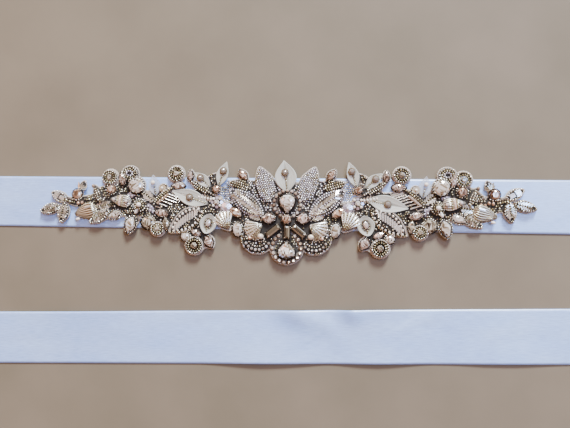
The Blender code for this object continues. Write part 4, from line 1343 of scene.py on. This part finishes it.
@sewn
def cup_petal(name, piece, patch):
    """A white ruffled cup with a long clear stone in its middle, which is painted in shade."""
    wide = piece._replace(width=CUP_WIDTH)
    patch = Patch(wide, patch.side)
    made = petal_sheet(name, wide, patch, SILK_WHITE, 9, hollow=True)
    middle = (*patch.at(-0.6, 0), base_of(piece) + SOLID_CLOTH / 2 + 0.2)
    put("small_stone", middle, (*patch.ahead, 0), (6.6, 4.4, 2.6), 0.75)
    chain = patch.line((3.0, 0.5), (4.8, -0.4), (5.8, 0.2))
    strung("gold", chain, middle[2] + 0.7, 1.5, (1.2, 1.5, 1.5), 0.4)
    for k in range(10):
        angle = math.tau * k / 10
        spot = patch.at(-0.6 + 3.7 * math.cos(angle), 2.6 * math.sin(angle))
        put("gold" if k % 2 else "brown", (*spot, middle[2] + 0.5), (1, 0, 0), (1.2, 1.3, 1.3), 0.3)
    return made


@sewn
def sheer_petal(name, piece, patch):
    """Organza that lets the ribbon show, with a pearl at the end of a gold stem."""
    made = petal_sheet(name, piece, patch, ORGANZA, 6)
    high = petal_level(piece, 2.0)
    put("pearl", (*patch.at(2.0, -0.6), high + 1.3), (1, 0, 0), (3.2, 3.2, 2.8), 0.6)
    strung("gold", patch.line((-0.4, -0.3), (-6.8, 0.0)), high + 0.5, 1.45, (1.2, 1.5, 1.5))
    return made


# Twisted cord

cords = []


def cord_along(path, closed=True):
    """Two strands twisted about each other along a path."""
    ends = path + [path[0]] if closed else path
    points = [place for place, _ in walk(ends, CORD * 0.5)]
    count = len(points)
    if count < 8:
        return
    total = sum((b - a).length for a, b in zip(ends, ends[1:]))
    turns = max(1, round(total / CORD_PITCH))
    for strand in (0.0, math.pi):
        yarn = []
        for k, place in enumerate(points):
            after = points[(k + 1) % count] if closed else points[min(k + 1, count - 1)]
            before = points[k - 1] if closed or k else points[0]
            along = (after - before).normalized()
            across = along.cross(Vector((0, 0, 1))).normalized()
            over = across.cross(along)
            spin = strand + math.tau * turns * k / count
            yarn.append(place + (across * math.cos(spin) + over * math.sin(spin)) * CORD * 0.24)
        cords.append((yarn, closed))


def cord():
    """All the cord as one mesh."""
    data = bpy.data.curves.new("cord", "CURVE")
    data.dimensions = "3D"
    data.bevel_depth = CORD * 0.28 * MM
    data.bevel_resolution = 0
    for yarn, closed in cords:
        line = data.splines.new("POLY")
        line.points.add(len(yarn) - 1)
        line.use_cyclic_u = closed
        for point, place in zip(line.points, yarn):
            point.co = (*(place * MM), 1.0)
    data.use_fill_caps = True
    holder = placed("cord", data)
    mesh = bpy.data.meshes.new_from_object(holder.evaluated_get(bpy.context.evaluated_depsgraph_get()))
    bpy.data.objects.remove(holder, do_unlink=True)
    mesh.materials.clear()
    mesh.materials.append(CORD_THREAD)
    for face in mesh.polygons:
        face.use_smooth = True
    made = placed("edge_cord", mesh)
    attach(made, "root")


def felt_plate(name):
    """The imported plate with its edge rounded, and how far each point lies from the edge."""
    mesh = bmesh.new()
    mesh.from_mesh(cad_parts[name].data)
    bmesh.ops.remove_doubles(mesh, verts=mesh.verts[:], dist=1e-6)
    bmesh.ops.scale(mesh, vec=(1 / MM,) * 3, verts=mesh.verts[:])
    rim = [
        edge
        for edge in mesh.edges
        if len(edge.link_faces) == 2
        and min(abs(face.normal.z) for face in edge.link_faces) < 0.2
        and max(face.normal.z for face in edge.link_faces) > 0.2
    ]
    near = KDTree(len(rim))
    for k, edge in enumerate(rim):
        near.insert((edge.verts[0].co + edge.verts[1].co) / 2, k)
    near.balance()
    # How far in from the rim; the felt's colour darkens with it, painted shadow between the beads.
    inward = mesh.verts.layers.float.new("inward")
    for vert in mesh.verts:
        on_top = vert.co.z > PLATE_TOP - 0.3
        vert[inward] = min(1.0, near.find(vert.co)[2] / RIM_SHADE) if on_top else 0.0
    mesh.verts.index_update()
    mesh.verts.ensure_lookup_table()
    pairs = [(edge.verts[0].index, edge.verts[1].index) for edge in rim]
    lines = [([mesh.verts[k].co.copy() for k in line], closed) for line, closed in chained(pairs)]
    area = sum(face.calc_area() * face.normal.z for face in mesh.faces if face.normal.z > 0.05)
    made = finished("felt_" + name, mesh, [FELT], closed=False)
    rounder = made.modifiers.new("rounder", "SUBSURF")
    rounder.levels = rounder.render_levels = 1
    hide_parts(name)
    return lines


def chained(pairs):
    """The lines that edges join end to end, each with whether it is closed."""
    after = {}
    for a, b in pairs:
        after.setdefault(a, []).append(b)
        after.setdefault(b, []).append(a)
    left, lines = set(after), []
    for start in sorted(after, key=lambda k: (len(after[k]) == 2, k)):
        if start not in left:
            continue
        left.discard(start)
        line = [start]
        while True:
            ahead = [k for k in after[line[-1]] if k in left]
            if not ahead:
                break
            line.append(ahead[0])
            left.discard(ahead[0])
        lines.append((line, len(line) > 2 and start in after[line[-1]]))
    return lines


def softened(path, closed, rounds):
    """A path with its corners evened out."""
    count = len(path)
    for _ in range(rounds):
        even = [(path[k - 1] + path[k] * 2 + path[(k + 1) % count]) / 4 for k in range(count)]
        path = even if closed else [path[0], *even[1:-1], path[-1]]
    return path


def edge_cord(lines, others):
    """Cord round a plate's edge, left out where the next plate begins."""
    near = KDTree(sum(len(path) for path, _ in others) + 1)
    near.insert(Vector((0, 0, 1000)), 0)
    for path, _ in others:
        for place in path:
            near.insert(place, 0)
    near.balance()
    for path, closed in lines:
        if len(path) < 9:
            continue
        even = [place for place, _ in walk(path + path[:1] if closed else path, 0.8)]
        even = [Vector((p.x, p.y, PLATE_TOP - 0.25)) for p in softened(even, closed, 3)]
        runs = [[]]
        for place in even:
            if near.find(place)[2] > 1.9:
                runs[-1].append(place)
            else:
                runs.append([])
        if len(runs) == 1 and closed:
            cord_along(even)
            continue
        if closed and runs[0]:
            runs[-1] += runs.pop(0)
        for run in runs:
            if len(run) > 9:
                cord_along(run, closed=False)


def filling():
    """Loose seeds in every gap that is left on the felt, more of them lilac near the middle."""
    columns, rows = (int(size / FILL_STEP) for size in FILL_SIZE)
    for i in range(rows):
        for j in range(columns):
            x = FILL_CORNER[0] + FILL_STEP * (j + 0.5 * (i % 2)) + chance.uniform(-FILL_JITTER, FILL_JITTER)
            y = FILL_CORNER[1] + FILL_STEP * i + chance.uniform(-FILL_JITTER, FILL_JITTER)
            place = Vector((x, y))
            if felt_top(place) is None or not is_free(place, 0.62):
                continue
            pick = chance.random()
            lilac = 0.42 if abs(x) >= 50 else 0.92 if y > -9 else 0.6
            limits = (("silver", 0.42), ("lilac", lilac), ("gold", 0.92), ("brown", 1.0))
            kind = next(kind for kind, limit in limits if pick < limit)
            lie = (chance.uniform(-1, 1), chance.uniform(-1, 1))
            sew(kind, place, lie, SEED * chance.uniform(0.8, 1.05))


def bridges():
    """Loose beads sewn to the satin itself, between the middle plate and its neighbours."""
    level = RIBBON_REST + RIBBON_CLOTH / 2 + SEED / 2
    for side in (-1, 1):
        for i in range(17):
            for j in range(6):
                place = Vector((side * (40 + 1.75 * j + 0.8 * (i % 2)), -9 + 1.6 * i))
                if felt_top(place) is None and is_free(place, 0.7) and chance.random() < 0.93:
                    kind = chance.choice(("lilac", "lilac", "silver", "gold"))
                    put(kind, (*place, level), (chance.uniform(-1, 1), 1, 0))


# The ribbon

Stretch = namedtuple("Stretch", "start end folded flip waves creases")
Row = namedtuple("Row", "stretch s lean bend")


def back_line(x):
    """A place on the middle line of the run that comes back."""
    return Vector((x, -BACK_RUN_DROP + math.tan(BACK_RUN_SLANT) * x))


def ribbon_height(stretch, x, w):
    """Waves and soft creases at a place along X, with w from -1 at the near edge to 1."""
    height = 0.0
    for wave in stretch.waves:
        off = (x - wave.centre) / wave.half_length
        if abs(off) < 1:
            lean = max(0.0, (1 + wave.edge * w) / 2) ** EDGE_LEAN
            height += wave.height * lean * math.cos(math.pi / 2 * off) ** 2
    for crease in stretch.creases:
        turn = math.radians(crease.turn)
        dx, dy = x - crease.x, (w - crease.across) * RIBBON_WIDTH / 2
        along = dx * math.cos(turn) + dy * math.sin(turn)
        over = dy * math.cos(turn) - dx * math.sin(turn)
        if abs(along) < 3 * crease.reach and abs(over) < 3 * crease.spread:
            height += crease.depth * math.exp(-((along / crease.reach) ** 2) - (over / crease.spread) ** 2)
    return max(RIBBON_LOWEST, height)


def ribbon_point(row, w):
    """Where a point across a row lies, raised on the layer below it and bent over at a fold."""
    stretch = row.stretch
    along = (stretch.end - stretch.start).normalized()
    across = Vector((-along.y, along.x))
    length = (stretch.end - stretch.start).length
    t = RIBBON_WIDTH / 2 * w * stretch.flip
    place = stretch.start + along * (row.s + row.lean * t) + across * t
    lift = LAYER_STEP * (
        (1 - smooth(LIFT_NEAR, LIFT_FAR, row.s)) * stretch.folded[0]
        + (1 - smooth(LIFT_NEAR, LIFT_FAR, length - row.s)) * stretch.folded[1]
    )
    near = smooth(LIFT_NEAR, LIFT_FAR, min(row.s, length - row.s))
    height = RIBBON_REST + lift + near * ribbon_height(stretch, place.x, w * stretch.flip)
    if row.bend:
        crease = (along * row.lean + across).normalized()
        outward = Vector((crease.y, -crease.x)) * (1 if row.bend > 0 else -1)
        place = place + outward * (LAYER_STEP / 2 * math.sin(abs(row.bend)))
        height -= LAYER_STEP / 2 * (1 - math.cos(row.bend))
    return Vector((place.x, place.y, height))


def skew(direction, other):
    """How a row leans where the ribbon is folded from one direction to another."""
    crease = (direction + other).normalized()
    across = Vector((-direction.y, direction.x))
    return crease.dot(direction) / crease.dot(across)


def long_rows(stretch, lean_start, lean_end):
    """Rows along a run, which straighten after each end, with the half turn of a fold past it."""
    length = (stretch.end - stretch.start).length
    inner = [(CREASE_REACH * k / CREASE_STEPS, 1 - k / CREASE_STEPS) for k in range(CREASE_STEPS + 1)]
    rows = [Row(stretch, s, lean_start * keep, 0.0) for s, keep in inner]
    span = length - 2 * CREASE_REACH
    steps = round(span / ROW_STEP)
    rows += [Row(stretch, CREASE_REACH + span * k / steps, 0.0, 0.0) for k in range(1, steps)]
    rows += [Row(stretch, length - s, lean_end * keep, 0.0) for s, keep in reversed(inner)]
    bends = [math.pi * k / BEND_STEPS for k in range(1, BEND_STEPS + 1)]
    if stretch.folded[0]:
        rows = [Row(stretch, 0.0, lean_start, -bend) for bend in reversed(bends)] + rows
    if stretch.folded[1]:
        rows += [Row(stretch, length, lean_end, bend) for bend in bends]
    return rows


def turn_rows(stretch, lean_start, lean_end):
    """Rows along the short stretch between two folds."""
    length = (stretch.end - stretch.start).length
    steps = round(length / ROW_STEP)
    gain = lean_end - lean_start
    return [Row(stretch, length * k / steps, lean_start + gain * k / steps, 0.0) for k in range(1, steps)]


def ribbon():
    """The whole length as one sheet, from the end of one tail to the end of the other."""
    half, slant = RIBBON_LENGTH / 2, math.cos(BACK_RUN_SLANT)
    left = back_line(LEFT_CORNER)
    left_end = LEFT_CORNER + (half + LEFT_CORNER + left.y) * slant
    right_end = left_end + TAIL_GAP
    right_corner = (half - BACK_RUN_DROP + right_end / slant) / (1 - math.tan(BACK_RUN_SLANT) + 1 / slant)
    a, d = Vector((LEFT_CORNER, 0)), Vector((right_corner, 0))
    b, c = left, back_line(right_corner)
    left_tip, right_tip = back_line(left_end), back_line(right_end)
    out, down, up = Vector((1, 0)), Vector((0, -1)), Vector((0, 1))
    home = (left_tip - b).normalized()

    tail_left = Stretch(b, left_tip, (1, 0), -1, BACK_WAVES, BACK_CREASES)
    turn_left = Stretch(a, b, (0, 0), 1, (), ())
    front = Stretch(a, d, (1, 1), 1, FRONT_WAVES, FRONT_CREASES)
    turn_right = Stretch(d, c, (0, 0), -1, (), ())
    tail_right = Stretch(right_tip, c, (0, 1), -1, BACK_WAVES, BACK_CREASES)
    rows = list(reversed(long_rows(tail_left, skew(home, down), TAIL_CUT_SLANT)))
    rows += reversed(turn_rows(turn_left, skew(down, -out), skew(down, home)))
    rows += long_rows(front, skew(out, up), skew(out, down))
    rows += turn_rows(turn_right, skew(down, out), skew(down, -home))
    rows += reversed(long_rows(tail_right, TAIL_CUT_SLANT, skew(home, up)))

    mesh = bmesh.new()
    bmesh.ops.create_grid(mesh, x_segments=len(rows) - 1, y_segments=RIBBON_COLUMNS, size=1.0)
    run = [0.0]
    for before, after in zip(rows, rows[1:]):
        run.append(run[-1] + (ribbon_point(after, 0) - ribbon_point(before, 0)).length)
    lay = mesh.loops.layers.uv.new("ribbon")
    for face in mesh.faces:
        for loop in face.loops:
            number = round((loop.vert.co.x + 1) / 2 * (len(rows) - 1))
            loop[lay].uv = (run[number], loop.vert.co.y * RIBBON_WIDTH / 2)
    for vert in mesh.verts:
        number = round((vert.co.x + 1) / 2 * (len(rows) - 1))
        vert.co = ribbon_point(rows[number], vert.co.y)
    made = walled(finished("satin_ribbon", mesh, [SATIN], closed=False), RIBBON_CLOTH)
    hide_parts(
        "ribbon_front", "ribbon_turn_left", "ribbon_turn_right",
        "ribbon_tail_left", "ribbon_tail_right",
    )


# The applique

STITCHED = [
    # piece, kind, slot, template, material and the template's further values
    ("silver_seed_beads", "silver", "silver_beads", round_bead, SILVER_SEEDS),
    ("gold_seed_beads", "gold", "beadwork", round_bead, GOLD_SEEDS),
    ("lilac_seed_beads", "lilac", "silver_beads", round_bead, LILAC_SEEDS),
    ("brown_seed_beads", "brown", "beadwork", round_bead, BROWN_SEEDS),
    ("amber_round_beads", "amber", "champagne", round_bead, ORANGE_BEADS, 12, 8),
    ("pearls", "pearl", "pearl", round_bead, PEARLS, 14, 10),
    ("band_beads", "band", "champagne", round_bead, PINK_BAND, 8, 6),
    ("bugles", "bugle", "silver_beads", bugle_bead, BUGLES),
    ("bronze_bars", "bar", "champagne", bugle_bead, BRONZE_BARS),
    ("claws", "claws", "setting", round_bead, CLAWS, 6, 4),
    ("lilac_sequins", "sequin", "sequin", cup_sequin, SEQUINS),
    ("gold_cup_sequins", "sequin_gold", "sequin", cup_sequin, GOLD_SEQUINS),
    ("small_claw_stones", "small_stone", "crystal", claw_stone, SMALL_CLEAR),
    ("petal_ring_stones", "petal_stone", "crystal", claw_stone, SMALL_SMOKE, GILT_RINGS, 0.8),
    ("halo_claw_stones", "halo_stone", "champagne", claw_stone, SMALL_CHAMPAGNE),
]


def halo_stones(halo):
    """An open ring of small claw-set stones."""
    size = halo.stone * 1.12
    shape = (size, size, halo.height + 1.3)
    for k in range(halo.stones):
        out = toward(math.radians(halo.start + halo.sweep * k / (halo.stones - 1)))
        place = Vector((halo.u, halo.v)) + out * halo.radius
        put("halo_stone", (*place, PLATE_TOP + 0.5), (1, 0, 0), shape, chance.uniform(0.1, 1.0), 1.4)


def applique():
    lines = {name: felt_plate(name) for name in FELT_WALLS}
    for name in FELT_WALLS:
        others = [line for other in FELT_WALLS if other != name for line in lines[other]]
        edge_cord(lines[name], others if name != "applique_centre" else [])
    for piece in PIECES:
        for side in SIDES[piece.place]:
            name = piece.name + SUFFIXES[side]
            made = WORK.get(piece.work, set_stone)("sewn_" + name, piece, Patch(piece, side))
            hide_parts(name)
    patches = [(k, motif, Patch(motif, side)) for k, motif in enumerate(MOTIFS) for side in SIDES["pair"]]
    for number, motif, patch in patches:
        if motif.work in LOW_STONES:
            low_stone(patch, motif.work, number)
    for halo in HALOS:
        halo_stones(halo)
    for number, motif, patch in patches:
        if motif.work in WORK:
            WORK[motif.work](patch)
    filling()
    bridges()
    for name, kind, slot, pattern, *values in STITCHED:
        stitched(name, pattern("one_" + kind, *values), kind)
    cord()


# Floor and light

LAMPS = [
    # name, place, aim, size and power in metres and watts, and colour
    ("window", (0.8, 3.6, 2.2), (0.0, -0.03, 0.0), 1.2, 640.0, "#e6f0f6"),
    ("sky", (0.85, 0.35, 1.5), (0.1, -0.05, 0.0), 0.8, 23.0, "#9ec3ff"),
    ("warm", (-0.95, 0.7, 0.9), (-0.35, 0.05, 0.0), 0.5, 3.2, "#ffa878"),
    ("glint_0", (-0.5, 0.5, 1.9), (0.0, 0.0, 0.0), 0.09, 3.0, "#ffffff"),
    ("glint_1", (0.25, 0.9, 1.9), (0.0, 0.0, 0.0), 0.09, 3.0, "#ffffff"),
    ("glint_2", (-0.1, -0.1, 2.2), (0.0, 0.0, 0.0), 0.09, 3.0, "#ffffff"),
]


def floor():
    mesh = bmesh.new()
    bmesh.ops.create_grid(mesh, x_segments=1, y_segments=1, size=2500.0)
    made = finished("floor", mesh, [painted_floor()], closed=False)
    made.parent = None


def studio():
    """A cool window light from above the picture, small lamps for glints, and a warm, even room."""
    for name, place, aim, size, power, colour in LAMPS:
        data = bpy.data.lights.new(name, "AREA")
        data.shape = "DISK"
        data.size = size
        data.energy = power
        data.color = linear(colour)[:3]
        made = placed(name, data)
        made.location = place
        made.rotation_euler = (Vector(aim) - Vector(place)).to_track_quat("-Z", "Y").to_euler()
    world = bpy.data.worlds.new("room")
    world.use_nodes = True
    give(world.node_tree.nodes["Background"], Color=linear("#e0a47c"), Strength=0.8)
    bpy.context.scene.world = world


camera()
floor()
ribbon()
applique()
studio()
